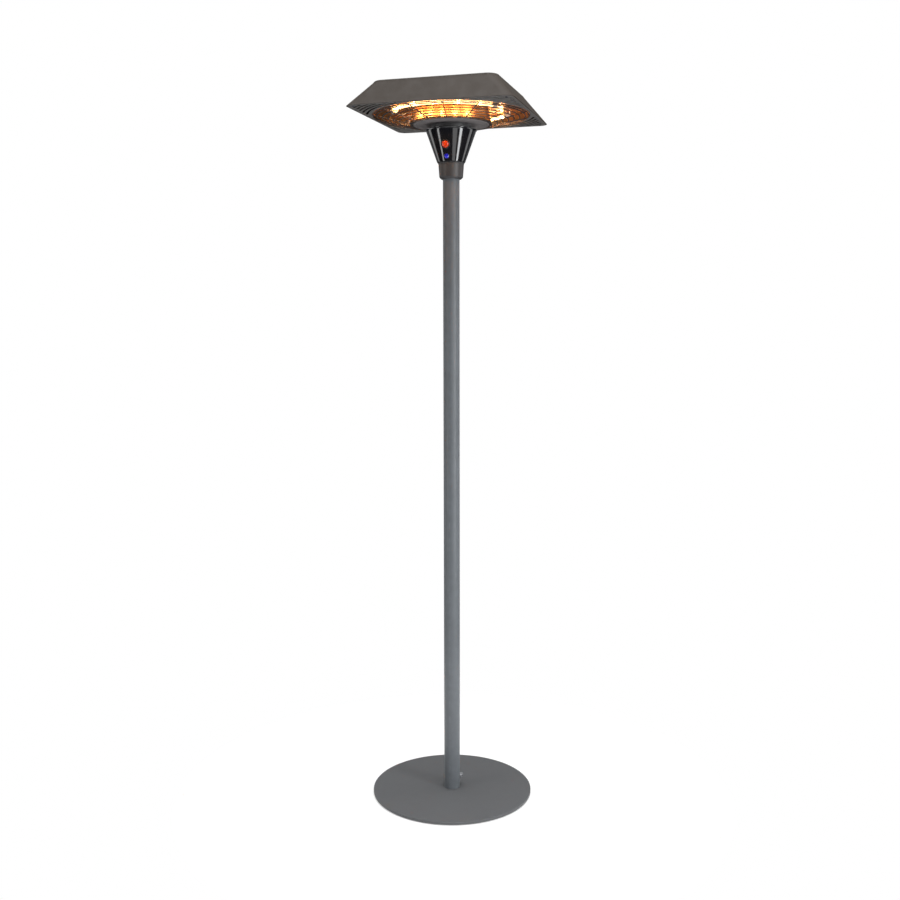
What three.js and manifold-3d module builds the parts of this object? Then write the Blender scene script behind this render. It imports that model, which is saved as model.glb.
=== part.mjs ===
// Free-standing electric patio heater: a round steel base, a tall tube, a conical switch
// housing and a square hood with two arc-shaped quartz lamps behind a dished wire guard.
// Millimetres, +Z up, front at -Y, origin at the centre of the footprint on the floor.
import * as THREE from "three";
import { mergeVertices } from "three/addons/utils/BufferGeometryUtils.js";
import Module from "manifold-3d";

const wasm = await Module();
wasm.setup();

// ---------------------------------------------------------------- driving dimensions
const GAP = 0.3; // clearance between pieces that touch in the real assembly
const TOP = 2098; // overall height

const BASE = { radius: 242, thickness: 8, edge: 1.2, boltHole: 4.6, pocket: 13, pocketDepth: 4 };
const FOOT = { radius: 14, drop: 2, recess: 1.5, circle: 212, count: 4 };
const POLE = { radius: 24, wall: 1.5, top: 1897 };
const SPIGOT = { height: 17, bore: 4.3 };
const BOLT = { head: 8, headHeight: 3.8, shank: 4, length: 22, clear: 0.6, washer: 11.5 };
const GLAND = { height: 38, bore: 4.5, barrel: 6.5, flange: 9.5, nose: 15, nutDepth: 5, turn: -38 };

const COLLAR = { bottom: 1846, height: 42, foot: 28.6, low: 34.1, high: 36.7, chamfer: 5, step: 3 };
const GRUB = { rise: 14, radius: 2.4, clear: 0.4, sunk: 0.8, socket: 1.2, socketDepth: 1.5 };
const TRIM = { height: 3.9, radius: 37.7 };
const PLATE_Z = 1997.4; // underside of the centre plate
const SPACER = { inner: 55.5, radius: 60, height: 13 };
const CONE = { low: 40.2, shoulder: 71.9, high: 74.2, wall: 2.5, floor: 3, lip: 54.5 };
const CONE_RIM = { height: 4, edge: 1.5 };
const NECK = { tube: 15, wall: 2, bottom: 1868, flange: 66, flangeThickness: 3, thread: 18 };
const NUT = { radius: 23, height: 6 };
const WIRE_HOLE = { radius: 8, y: 50 };
const LEAD = { radius: 3.5, exit: 1936, exitHole: 5.5, bend: 26, end: { y: 32, z: 1945 } };
const BUTTON = { height: 1937.6, cap: 9.9, bore: 10.3, barrel: 11.7, flange: 13.6 };
const SWITCH = { top: -7.5, bottom: -20, tabs: -28, tabX: 5, tabHalf: 0.4, tabWidth: 2.4 };
const LENS = { height: 1906, radius: 6.5, bore: 6.8, barrel: 7.6, flange: 8.6 };

const PLATE = { radius: 109, sheet: 1.5, rim: 6 };
const RIM_Z = 2024.1; // underside of the hood's rim
const HOOD = { rim: 236.7, roof: 175.2, rimCorner: 26.5, roofCorner: 30.8, edge: 4, sheet: 1.5 };
const GUSSET = { inner: 292, outer: 340, half: 45 };
const FRAME = { inset: 3.9, corner: 26, opening: 226, sheet: 1.5, border: 9, screwCircle: 304 };
const SLOT = { first: 240, pitch: 13.5, width: 7.5, count: 5 };
const GUARD = { wire: 1.5, inner: 118, outer: 222.7, pitch: 16, rings: 6, drop: 1.8, clear: 1.2 };
const SPOKE = { count: 14, first: 23.4 };
const HOOK = { count: 4, reach: 227.8, width: 8, sheet: 1.2 };
const MIRROR = { opening: 224, flareTop: 198, hole: 66, low: 2028, high: 2044.7, sheet: 1.2 };
const DRUM = { low: 118.2, high: 111, bottom: 2002.6, sheet: 1.2 };
const LAMP = { circle: 165, height: 2032.7, radius: 6, span: 116, first: -90, count: 2 };
const CAP = { radius: 8.2, length: 20, clear: 1, tail: 4 };
const HOLDER = { sheet: 1.2, width: 8, reach: 4 };
const LOOM = { circle: 98, sleeve: 2.4, height: 2050.2, feed: 3.2, end: 1964 };
const SHIELD = { height: 2064.7, sheet: 1, radius: 172, hole: 20 };
const SCREW = { head: 3.6, height: 2.2, edge: 0.9, shank: 1.7, length: 6, hole: 2.3, pilot: 2 };
const POST = { radius: 6, offset: 110, clear: 1 };
const CUTOUT = { x: 74, flange: 12, flangeHeight: 4, can: 8, height: 10 };
const TERMINAL = { half: 13, front: 24, sheet: 2, depth: 11.7, low: 1946, height: 18, way: 2.2, pitch: 8.5 };
const TILT = { x: 34, pivot: 1966, length: 20, bob: 6, pin: 1.5, half: 7, ear: 2, width: 8, lug: 6 };

const DEG = Math.PI / 180;
const CONE_Z0 = COLLAR.bottom + COLLAR.height + GAP + TRIM.height + GAP;
const CONE_Z1 = PLATE_Z - GAP - SPACER.height - GAP;
const SHOULDER_Z = CONE_Z1 - CONE_RIM.height;
const CONE_SLOPE = (CONE.shoulder - CONE.low) / (SHOULDER_Z - CONE_Z0);
const CONE_ANGLE = Math.atan(CONE_SLOPE);
const FLANGE_Z = CONE_Z1 - CONE.floor - GAP - NECK.flangeThickness;
const BASE_TOP = FOOT.drop + BASE.thickness;
const DRUM_FLOOR = PLATE_Z + PLATE.rim + GAP; // underside of the drum's floor

// ---------------------------------------------------------------- materials
const finish = (color, roughness, metalness, extra = {}) =>
  new THREE.MeshStandardMaterial({ color, roughness, metalness, ...extra });
const powder = finish(0x55585a, 0.55, 0.3);
const glossBlack = finish(0x15161a, 0.12, 0);
const mattBlack = finish(0x38393c, 0.45, 0);
const copper = finish(0xd98b4a, 0.15, 1);
const steel = finish(0xa8aaad, 0.35, 0.9);
const ceramic = finish(0xe8e2d6, 0.7, 0);
const quartz = finish(0xffe7b8, 0.05, 0, { emissive: 0xff9a3c });
const rubber = finish(0x1c1c1d, 0.85, 0);
const orange = finish(0xf0501a, 0.25, 0, { emissive: 0xb02a08 });
const blue = finish(0x2433d8, 0.1, 0, { emissive: 0x1020a0 });
const nylon = finish(0xd9d8d2, 0.6, 0);
const silicone = finish(0x8a3b22, 0.7, 0);

// ---------------------------------------------------------------- solids and booleans
const part = new THREE.Group();

function add(name, geometry, material, parent = part) {
  const mesh = new THREE.Mesh(geometry, material);
  mesh.name = name;
  parent.add(mesh);
  return mesh;
}

function group(x, y, z, rx = 0, ry = 0, rz = 0, parent = part) {
  const g = new THREE.Group();
  g.position.set(x, y, z);
  g.rotation.set(rx, ry, rz);
  parent.add(g);
  return g;
}

function solidOf(geometry) {
  const bare = new THREE.BufferGeometry();
  bare.setAttribute("position", geometry.getAttribute("position"));
  if (geometry.index) bare.setIndex(geometry.index);
  const merged = mergeVertices(bare, 1e-3);
  return new wasm.Manifold(
    new wasm.Mesh({
      numProp: 3,
      vertProperties: merged.attributes.position.array,
      triVerts: new Uint32Array(merged.index.array),
    }),
  );
}

function geometryOf(solid) {
  const mesh = solid.getMesh();
  const position = new THREE.BufferAttribute(mesh.vertProperties, 3);
  const index = new THREE.BufferAttribute(mesh.triVerts, 1);
  return new THREE.BufferGeometry().setAttribute("position", position).setIndex(index);
}

const cut = (body, ...tools) =>
  geometryOf(tools.reduce((left, tool) => left.subtract(solidOf(tool)), solidOf(body)));
const join = (body, ...more) =>
  geometryOf(more.reduce((left, piece) => left.add(solidOf(piece)), solidOf(body)));

// A profile of [radius, z] points turned about +Z. It starts and ends on the axis, or closes.
function turned(profile, segments = 40) {
  const points = profile.map(([r, z]) => new THREE.Vector2(r, z));
  const closed = profile[0][0] > 0 || profile[profile.length - 1][0] > 0;
  if (closed) points.push(points[0].clone());
  let area = 0;
  points.forEach((p, i) => {
    const q = points[(i + 1) % points.length];
    area += p.x * q.y - q.x * p.y;
  });
  if (area < 0) points.reverse();
  return new THREE.LatheGeometry(points, segments).rotateX(Math.PI / 2);
}

const ring = (inner, outer, z0, z1, segments = 40) =>
  turned([[inner, z0], [outer, z0], [outer, z1], [inner, z1]], segments);
const rod = (radius, z0, z1, segments = 16) =>
  turned([[0, z0], [radius, z0], [radius, z1], [0, z1]], segments);
// A rod that lies along +Y, between two distances from the Z axis.
const rodToRear = (radius, y0, y1, segments) => rod(radius, y0, y1, segments).rotateX(-Math.PI / 2);
const block = (x0, x1, y0, y1, z0, z1) =>
  new THREE.BoxGeometry(x1 - x0, y1 - y0, z1 - z0).translate(
    (x0 + x1) / 2,
    (y0 + y1) / 2,
    (z0 + z1) / 2,
  );

// Corner points of a square with rounded corners, counter-clockwise.
function roundedSquare(half, radius, z, arc = 4) {
  const points = [];
  for (let corner = 0; corner < 4; corner++) {
    const turn = corner * 90 + 45;
    const cx = (half - radius) * Math.sign(Math.cos(turn * DEG));
    const cy = (half - radius) * Math.sign(Math.sin(turn * DEG));
    for (let step = 0; step <= arc; step++) {
      const a = (corner * 90 + (90 * step) / arc) * DEG;
      points.push(new THREE.Vector3(cx + radius * Math.cos(a), cy + radius * Math.sin(a), z));
    }
  }
  return points;
}

// A closed solid through convex sections that have the same number of points.
function loft(sections) {
  const n = sections[0].length;
  const vertices = sections.flat();
  const faces = [];
  for (let s = 0; s + 1 < sections.length; s++)
    for (let i = 0; i < n; i++) {
      const [a, b] = [s * n + i, s * n + ((i + 1) % n)];
      faces.push(a, b, b + n, a, b + n, a + n);
    }
  const top = (sections.length - 1) * n;
  for (let i = 1; i + 1 < n; i++) faces.push(0, i + 1, i, top, top + i, top + i + 1);
  const position = new Float32Array(vertices.flatMap((v) => v.toArray()));
  return new THREE.BufferGeometry()
    .setAttribute("position", new THREE.BufferAttribute(position, 3))
    .setIndex(faces);
}

// A round bar along a curve.
function bar(curve, radius, steps, sides = 8) {
  const section = new THREE.Shape();
  for (let i = 0; i < sides; i++) {
    const a = (i / sides) * 2 * Math.PI;
    const corner = [radius * Math.cos(a), radius * Math.sin(a)];
    if (i) section.lineTo(...corner);
    else section.moveTo(...corner);
  }
  return new THREE.ExtrudeGeometry(section, { steps, extrudePath: curve, bevelEnabled: false });
}

// A flat plate: a Shape in X and Y raised from z0 to z1.
const raised = (shape, z0, z1) =>
  new THREE.ExtrudeGeometry(shape, { depth: z1 - z0, bevelEnabled: false }).translate(0, 0, z0);

// A hexagon with a round bore.
const nut = (bore, corner, z0, z1) =>
  cut(rod(corner, z0, z1, 6), rod(bore, z0 - 1, z1 + 1, 24));

const polar = (radius, degrees) => [
  radius * Math.cos(degrees * DEG),
  radius * Math.sin(degrees * DEG),
];

// Points along an arc about the origin, ends included.
const arcPoints = (radius, from, to, steps) =>
  Array.from({ length: steps + 1 }, (_, i) => {
    const [x, y] = polar(radius, from + ((to - from) * i) / steps);
    return new THREE.Vector2(x, y);
  });

// The area between two radii and two angles.
const sector = (inner, outer, from, to, steps) =>
  new THREE.Path([...arcPoints(outer, from, to, steps), ...arcPoints(inner, to, from, steps)]);

const circle = (radius, steps) => arcPoints(radius, 0, 360, steps).slice(0, -1);

const wireHole = (z) => rod(WIRE_HOLE.radius, z - 2, z + 6, 16).translate(0, WIRE_HOLE.y, 0);

// ---------------------------------------------------------------- base and foot of the pole
function base() {
  const { radius, edge } = BASE;
  const plate = turned([
    [0, FOOT.drop],
    [radius - edge, FOOT.drop],
    [radius, FOOT.drop + edge],
    [radius, BASE_TOP - edge],
    [radius - edge, BASE_TOP],
    [0, BASE_TOP],
  ], 48);
  const tools = [
    rod(BASE.boltHole, 0, BASE_TOP + 1),
    rod(BASE.pocket, 0, FOOT.drop + BASE.pocketDepth, 32),
  ];
  for (let i = 0; i < FOOT.count; i++) {
    const [x, y] = polar(FOOT.circle, 45 + (360 / FOOT.count) * i);
    tools.push(rod(FOOT.radius + GAP, 0, FOOT.drop + FOOT.recess).translate(x, y, 0));
    const pad = rod(FOOT.radius, 0, FOOT.drop + FOOT.recess - GAP);
    add(`foot_pad_${i + 1}`, pad, rubber, group(x, y, 0));
  }
  add("base_plate", cut(plate, ...tools), powder);

  const washerTop = FOOT.drop + BASE.pocketDepth - GAP;
  add("base_washer", ring(BOLT.shank + GAP, BOLT.washer, washerTop - 1, washerTop, 32), steel);
  const headTop = BOLT.clear + BOLT.headHeight;
  const head = new THREE.CylinderGeometry(BOLT.head, BOLT.head, BOLT.headHeight, 6);
  head.rotateX(Math.PI / 2).translate(0, 0, (BOLT.clear + headTop) / 2);
  const shank = rod(BOLT.shank, headTop - 1, headTop + BOLT.length, 20);
  add("base_bolt", join(head, shank), steel);
}

function pole() {
  const inner = POLE.radius - POLE.wall;
  const hole = rodToRear(GLAND.barrel + GAP, 0, POLE.radius * 2);
  hole.rotateZ(GLAND.turn * DEG).translate(0, 0, GLAND.height);
  const tube = ring(inner, POLE.radius, BASE_TOP + GAP, POLE.top);
  add("pole", cut(tube, hole), powder);

  const z0 = BASE_TOP + GAP;
  const plug = ring(SPIGOT.bore, inner - GAP, z0, z0 + SPIGOT.height, 24);
  add("pole_spigot", plug, steel);

  // The gland points to the rear and right. Its own frame has +Z along the bore.
  const rear = group(0, 0, GLAND.height, -Math.PI / 2, -GLAND.turn * DEG);
  const barrel = ring(GLAND.bore, GLAND.barrel, inner - GLAND.nutDepth - 2, POLE.radius + 4, 24);
  const seat = POLE.radius + GAP;
  const nose = turned([
    [GLAND.bore, seat],
    [GLAND.flange, seat],
    [GLAND.flange, seat + 5],
    [GLAND.barrel, seat + GLAND.nose],
    [GLAND.bore, seat + GLAND.nose],
  ], 24);
  add("cable_gland", join(barrel, nose), mattBlack, rear);
  // The nut stops short of the chord of the tube's inner wall at its own radius.
  const nutTop = Math.sqrt(inner ** 2 - GLAND.flange ** 2) - GAP;
  const ringNut = nut(GLAND.barrel + GAP, GLAND.flange, nutTop - GLAND.nutDepth, nutTop);
  add("cable_gland_nut", ringNut, nylon, rear);
}

// ---------------------------------------------------------------- neck: collar, cone, switch
const coneRadius = (z) => CONE.low + CONE_SLOPE * (z - CONE_Z0);

function collar() {
  const { bottom, height, foot, low, high, chamfer, step } = COLLAR;
  const top = bottom + height;
  const bore = POLE.radius + GAP;
  const sleeve = turned([
    [bore, bottom],
    [foot, bottom],
    [low, bottom + chamfer],
    [high, top - step],
    [high, top],
    [bore, top],
  ]);
  // One grub screw at the rear locks the collar to the pole.
  const screwZ = bottom + GRUB.rise;
  const hole = rodToRear(GRUB.radius + GRUB.clear, bore - 1, high + 2, 16).translate(0, 0, screwZ);
  const face = low - GRUB.sunk;
  const socket = rod(GRUB.socket, face - GRUB.socketDepth, face + 1, 6);
  const driven = cut(rod(GRUB.radius, bore + GAP, face, 12), socket);
  add("collar_screw", driven, steel, group(0, 0, screwZ, -Math.PI / 2));
  add("pole_collar", cut(sleeve, hole), mattBlack);
  add("collar_ring", ring(bore, TRIM.radius, top + GAP, top + GAP + TRIM.height, 40), mattBlack);
}

// A frame on the front of the cone with +Z along the outward normal.
function coneSeat(z) {
  return group(0, -coneRadius(z), z, Math.PI / 2 + CONE_ANGLE);
}

function inFrameOf(g, geometry) {
  g.updateMatrixWorld(true);
  return geometry.clone().applyMatrix4(g.matrixWorld.clone().invert());
}

function onCone(g, geometry) {
  g.updateMatrixWorld(true);
  return geometry.clone().applyMatrix4(g.matrixWorld);
}

function neck() {
  const { wall, floor, lip, shoulder } = CONE;
  const bore = POLE.radius + GAP;
  const shell = turned([
    [bore, CONE_Z0],
    [CONE.low, CONE_Z0],
    [shoulder, SHOULDER_Z],
    [CONE.high, CONE_Z1 - CONE_RIM.edge],
    [CONE.high, CONE_Z1],
    [lip, CONE_Z1],
    [lip, CONE_Z1 - floor],
    [shoulder - wall, CONE_Z1 - floor],
    [CONE.low - wall + CONE_SLOPE * floor, CONE_Z0 + floor],
    [bore, CONE_Z0 + floor],
  ]);
  // The cone grown by the clearance trims whatever seats on it.
  const grown = turned([
    [0, CONE_Z0],
    [CONE.low + GAP, CONE_Z0],
    [shoulder + GAP, SHOULDER_Z],
    [0, SHOULDER_Z],
  ]);
  const switchSeat = coneSeat(BUTTON.height);
  const lensSeat = coneSeat(LENS.height);
  const holes = [
    onCone(switchSeat, rod(BUTTON.barrel + 2 * GAP, -12, 12, 24)),
    onCone(lensSeat, rod(LENS.barrel + 2 * GAP, -9, 9, 16)),
  ];
  add("neck_cone", cut(shell, ...holes), glossBlack);

  // Round switch: bezel, domed push cap and the sealed body behind it.
  const trimFor = (seat) => inFrameOf(seat, grown);
  const flange = cut(ring(BUTTON.bore, BUTTON.flange, -4, 3, 24), trimFor(switchSeat));
  const barrel = ring(BUTTON.bore, BUTTON.barrel, -7.2, 2, 24);
  add("switch_bezel", join(flange, barrel), mattBlack, switchSeat);
  const cap = turned([
    [0, -4],
    [BUTTON.cap, -4],
    [BUTTON.cap, 3.6],
    [BUTTON.cap * 0.82, 5.4],
    [BUTTON.cap * 0.45, 6.4],
    [0, 6.7],
  ], 24);
  add("power_button", cap, orange, switchSeat);
  const { tabX, tabHalf, tabWidth } = SWITCH;
  const body = rod(BUTTON.barrel - tabHalf, SWITCH.bottom, SWITCH.top, 24);
  const tab = block(-tabHalf, tabHalf, -tabWidth, tabWidth, SWITCH.tabs, SWITCH.bottom + 1);
  const tabs = [-tabX, tabX].map((x) => tab.clone().translate(x, 0, 0));
  add("switch_body", join(body, ...tabs), mattBlack, switchSeat);

  // Indicator: bezel and faceted lens.
  const lensFlange = cut(ring(LENS.bore, LENS.flange, -2, 1.6, 16), trimFor(lensSeat));
  const lensBarrel = ring(LENS.bore, LENS.barrel, -6, 1, 16);
  add("indicator_bezel", join(lensFlange, lensBarrel), mattBlack, lensSeat);
  const jewel = turned([
    [0, -8],
    [LENS.radius, -8],
    [LENS.radius, 1.4],
    [LENS.radius * 0.62, 3.2],
    [0, 4],
  ], 12);
  add("indicator_lens", jewel, blue, lensSeat);

  // The threaded tube runs through flange, spacer, centre plate and drum; one ring nut clamps them.
  // The cone's lip lies between flange and spacer.
  const flangeTop = CONE_Z1 - floor - GAP;
  const spacerZ = CONE_Z1 + GAP;
  add("neck_spacer", ring(SPACER.inner, SPACER.radius, spacerZ, spacerZ + SPACER.height), mattBlack);
  const bottomOfNut = DRUM_FLOOR + DRUM.sheet + GAP;
  const tube = ring(NECK.tube - NECK.wall, NECK.tube, NECK.bottom, PLATE_Z + NECK.thread, 32);
  const exit = rodToRear(LEAD.exitHole, 0, NECK.tube * 2, 16).translate(0, 0, LEAD.exit);
  add("neck_tube", cut(tube, exit), steel);
  const plate = ring(NECK.tube + GAP, NECK.flange, FLANGE_Z, flangeTop);
  add("neck_flange", cut(plate, wireHole(FLANGE_Z)), steel);
  const lockNut = nut(NECK.tube + GAP, NUT.radius, bottomOfNut, bottomOfNut + NUT.height);
  add("neck_lock_nut", lockNut, steel);
  const bushBore = NECK.tube + GAP;
  const bushOuter = POLE.radius - POLE.wall - GAP;
  add("neck_bush", ring(bushBore, bushOuter, NECK.bottom + 2, POLE.top - 1, 32), nylon);
}

// Parts hung under the neck flange, inside the cone.
function controls() {
  const hangZ = FLANGE_Z - GAP;
  const { half, front, sheet, depth, low, height, way, pitch } = TERMINAL;
  const strip = block(-half - 1, half + 1, front, front + sheet, low, hangZ);
  add("terminal_bracket", strip, steel);
  const back = front + sheet + GAP;
  const strap = block(-half, half, back, back + depth, low, low + height);
  const wires = [-pitch, 0, pitch].map((x) =>
    rod(way, low - 1, low + height + 1, 12).translate(x, back + depth / 2, 0),
  );
  add("terminal_block", cut(strap, ...wires), nylon);

  // Tip-over switch: a case with two ears and a pendulum that swings between them.
  const { x, pivot, width, lug, ear, pin, length, bob } = TILT;
  const inside = TILT.half;
  const bridge = block(x - width, x + width, -inside - ear, inside + ear, pivot + lug, hangZ);
  const lugs = [-inside - ear, inside].map((y) =>
    block(x - width, x + width, y, y + ear, pivot - lug, pivot + lug + 1),
  );
  const bore = rodToRear(pin + 0.12, -inside - ear - 1, inside + ear + 1, 24).translate(x, 0, pivot);
  add("tilt_switch_case", cut(join(bridge, ...lugs), bore), mattBlack);
  const shaft = rodToRear(pin, -inside - ear, inside + ear, 16).translate(x, 0, pivot);
  const arm = block(x - pin - 1, x + pin + 1, -pin * 2, pin * 2, pivot - length, pivot + pin * 2);
  const weight = rodToRear(bob, -inside + 0.6, inside - 0.6, 20).translate(x, 0, pivot - length);
  add("tilt_switch_pendulum", join(shaft, arm, weight), steel);
}

// ---------------------------------------------------------------- head: plate, guard, frame
function screw(name, x, y, z) {
  const head = turned([
    [0, -SCREW.height],
    [SCREW.head * 0.6, -SCREW.height],
    [SCREW.head, -SCREW.edge],
    [SCREW.head, 0],
    [0, 0],
  ], 12);
  const shank = rod(SCREW.shank, -SCREW.edge / 2, SCREW.length, 8);
  add(name, join(head, shank), steel, group(x, y, z));
}

function centrePlate() {
  const { radius, sheet, rim } = PLATE;
  const dish = turned([
    [0, PLATE_Z],
    [radius - 2, PLATE_Z],
    [radius, PLATE_Z + 2],
    [radius, PLATE_Z + rim],
    [radius - sheet, PLATE_Z + rim],
    [radius - sheet, PLATE_Z + sheet + 0.8],
    [radius - sheet - 1.2, PLATE_Z + sheet],
    [0, PLATE_Z + sheet],
  ]);
  const centre = rod(NECK.tube + GAP, PLATE_Z - 1, PLATE_Z + 5, 32);
  add("centre_plate", cut(dish, centre, wireHole(PLATE_Z)), powder);
}

// Height of the guard's wires: flat round the centre plate, then rising to the rim.
const guardZ = (r) => {
  const low = PLATE_Z + GUARD.drop;
  const along = Math.max(0, (r - GUARD.inner) / (GUARD.outer - GUARD.inner));
  return low + (RIM_Z - GUARD.drop - low) * along;
};

// Rings and spokes are what is left between the openings of one dished sheet.
function guard() {
  const { wire, inner, outer, pitch, rings } = GUARD;
  const around = (radius) =>
    arcPoints(radius, SPOKE.first, SPOKE.first + 360, SPOKE.count * 2).slice(0, -1);
  const shape = new THREE.Shape(around(outer + wire));
  shape.holes.push(new THREE.Path(around(PLATE.radius + GUARD.clear).reverse()));
  const ringAt = (i) => inner + pitch * i - wire;
  const step = 360 / SPOKE.count;
  for (let i = 0; i <= rings; i++) {
    const low = i ? ringAt(i) + wire : inner;
    const high = i < rings ? ringAt(i + 1) - wire : outer - wire;
    const half = (wire / ((low + high) / 2)) / DEG;
    for (let k = 0; k < SPOKE.count; k++) {
      const spokeAt = SPOKE.first + k * step;
      shape.holes.push(sector(low, high, spokeAt + half, spokeAt + step - half, 2));
    }
  }
  const sheet = raised(shape, -wire, wire);
  const points = sheet.getAttribute("position");
  for (let i = 0; i < points.count; i++) {
    const r = Math.hypot(points.getX(i), points.getY(i));
    points.setZ(i, points.getZ(i) + guardZ(r));
  }
  // Hooks stand up through the opening and lie on the rim frame.
  const rest = RIM_Z + FRAME.sheet + GAP;
  const hoopZ = guardZ(outer);
  const hooks = Array.from({ length: HOOK.count }, (_, i) => {
    const { reach, width, sheet: thick } = HOOK;
    const [y0, y1] = [-width / 2, width / 2];
    const leg = block(outer - 1, outer + 2, y0, y1, hoopZ, rest + thick);
    const toe = block(outer - 1, reach, y0, y1, rest, rest + thick);
    const turn = (360 / HOOK.count) * i * DEG;
    return [leg.rotateZ(turn), toe.rotateZ(turn)];
  });
  add("wire_guard", join(sheet, ...hooks.flat()), powder);
}

function rimFrame() {
  const half = HOOD.rim - FRAME.inset;
  const outline = roundedSquare(half, FRAME.corner, 0);
  const shape = new THREE.Shape(outline.map((p) => new THREE.Vector2(p.x, p.y)));
  shape.holes.push(new THREE.Path(circle(FRAME.opening, 56).reverse()));
  // Arc slots fill each corner as far as the border along the two sides allows.
  const limit = HOOD.rim - FRAME.border;
  for (let corner = 0; corner < 4; corner++) {
    const middle = 45 + 90 * corner;
    for (let i = 0; i < SLOT.count; i++) {
      const inner = SLOT.first + SLOT.pitch * i - SLOT.width / 2;
      const outer = inner + SLOT.width;
      const reach = 45 - Math.acos(limit / outer) / DEG;
      const steps = Math.max(2, Math.round(reach / 4));
      shape.holes.push(sector(inner, outer, middle - reach, middle + reach, steps));
    }
  }
  const sheet = raised(shape, RIM_Z, RIM_Z + FRAME.sheet);
  const holes = [0, 1, 2, 3].map((i) => {
    const [x, y] = polar(FRAME.screwCircle, 45 + 90 * i);
    screw(`rim_screw_${i + 1}`, x, y, RIM_Z - GAP);
    return rod(SCREW.hole, RIM_Z - 1, RIM_Z + 4, 12).translate(x, y, 0);
  });
  add("rim_frame", cut(sheet, ...holes), powder);
}

function hood() {
  const { rim, roof, rimCorner, roofCorner, edge, sheet } = HOOD;
  const lean = (rim - roof) / (TOP - RIM_Z);
  const outer = loft([
    roundedSquare(rim, rimCorner, RIM_Z),
    roundedSquare(roof + lean * edge, roofCorner, TOP - edge),
    roundedSquare(roof + lean * edge - edge * 1.5, roofCorner - 3, TOP - edge * 0.25),
    roundedSquare(roof - edge * 1.2, roofCorner - 5, TOP),
  ]);
  const inner = loft([
    roundedSquare(rim - sheet * 1.3 + lean * 5, rimCorner, RIM_Z - 5),
    roundedSquare(roof - sheet * 1.3 + lean * edge, roofCorner - 2, TOP - edge),
    roundedSquare(roof - edge * 1.8, roofCorner - 6, TOP - sheet),
  ]);
  // A gusset in each corner, above the rim frame, takes the frame's screw.
  const z0 = RIM_Z + FRAME.sheet + GAP;
  let shell = solidOf(outer).subtract(solidOf(inner));
  for (let i = 0; i < 4; i++) {
    const turn = (45 + 90 * i) * DEG;
    const { inner: from, outer: to, half } = GUSSET;
    const corner = block(from, to, -half, half, z0, z0 + sheet).rotateZ(turn);
    const [x, y] = polar(FRAME.screwCircle, 45 + 90 * i);
    const hole = rod(SCREW.pilot, z0 - 1, z0 + 3, 12).translate(x, y, 0);
    const gusset = solidOf(corner).intersect(solidOf(outer)).subtract(solidOf(hole));
    shell = shell.add(gusset);
  }
  add("hood_shell", geometryOf(shell), powder);
}

// ---------------------------------------------------------------- head: reflector and lamps
// Each lamp end: where its ceramic cap lies on the lamp circle and where its wire comes down.
const lampEnds = Array.from({ length: 2 * LAMP.count }, (_, i) => {
  const side = i % 2 ? 1 : -1;
  const tubeEnd = LAMP.first + (360 / LAMP.count) * Math.floor(i / 2) + (side * LAMP.span) / 2;
  const perMillimetre = side / LAMP.circle / DEG;
  return {
    cap: tubeEnd + (CAP.clear + CAP.length / 2) * perMillimetre,
    wire: tubeEnd + (CAP.clear + CAP.length + CAP.tail) * perMillimetre,
  };
});

function reflector() {
  const { opening, flareTop, hole, low, high, sheet } = MIRROR;
  const bowl = turned([
    [hole, high],
    [flareTop - 6, high],
    [flareTop + 3, high - 2.5],
    [opening - 7, low + 4],
    [opening, low],
    [opening + sheet * 1.3, low],
    [opening - 5.5, low + 4.8],
    [flareTop + 4.5, high - 1.4],
    [flareTop - 5, high + sheet],
    [hole, high + sheet],
  ]);
  const tools = lampEnds.map(({ wire }) =>
    rod(LOOM.sleeve + 1, high - 3, high + 3, 12).translate(...polar(LAMP.circle, wire), 0),
  );
  add("reflector", cut(bowl, ...tools), copper);

  // The drum is a dished cup whose wall leans in towards the top.
  const top = high - GAP;
  const lean = (DRUM.low - DRUM.high) / (top - DRUM.bottom);
  const wallAt = (z) => DRUM.low - lean * (z - DRUM.bottom);
  const inside = (z) => wallAt(z) - DRUM.sheet;
  const cup = turned([
    [NECK.tube + GAP, DRUM_FLOOR],
    [inside(DRUM_FLOOR), DRUM_FLOOR],
    [inside(DRUM.bottom), DRUM.bottom],
    [wallAt(DRUM.bottom), DRUM.bottom],
    [wallAt(top), top],
    [inside(top), top],
    [inside(DRUM_FLOOR + DRUM.sheet), DRUM_FLOOR + DRUM.sheet],
    [NECK.tube + GAP, DRUM_FLOOR + DRUM.sheet],
  ]);
  add("reflector_drum", cut(cup, wireHole(DRUM_FLOOR)), copper);
}

function lamp(index) {
  const middle = LAMP.first + (360 / LAMP.count) * index;
  const ends = [middle - LAMP.span / 2, middle + LAMP.span / 2];
  const arc = new THREE.CatmullRomCurve3(
    Array.from({ length: 17 }, (_, i) => {
      const [x, y] = polar(LAMP.circle, ends[0] + (LAMP.span * i) / 16);
      return new THREE.Vector3(x, y, LAMP.height);
    }),
  );
  add(`lamp_${index + 1}`, bar(arc, LAMP.radius, 20, 8), quartz);
}

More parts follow.
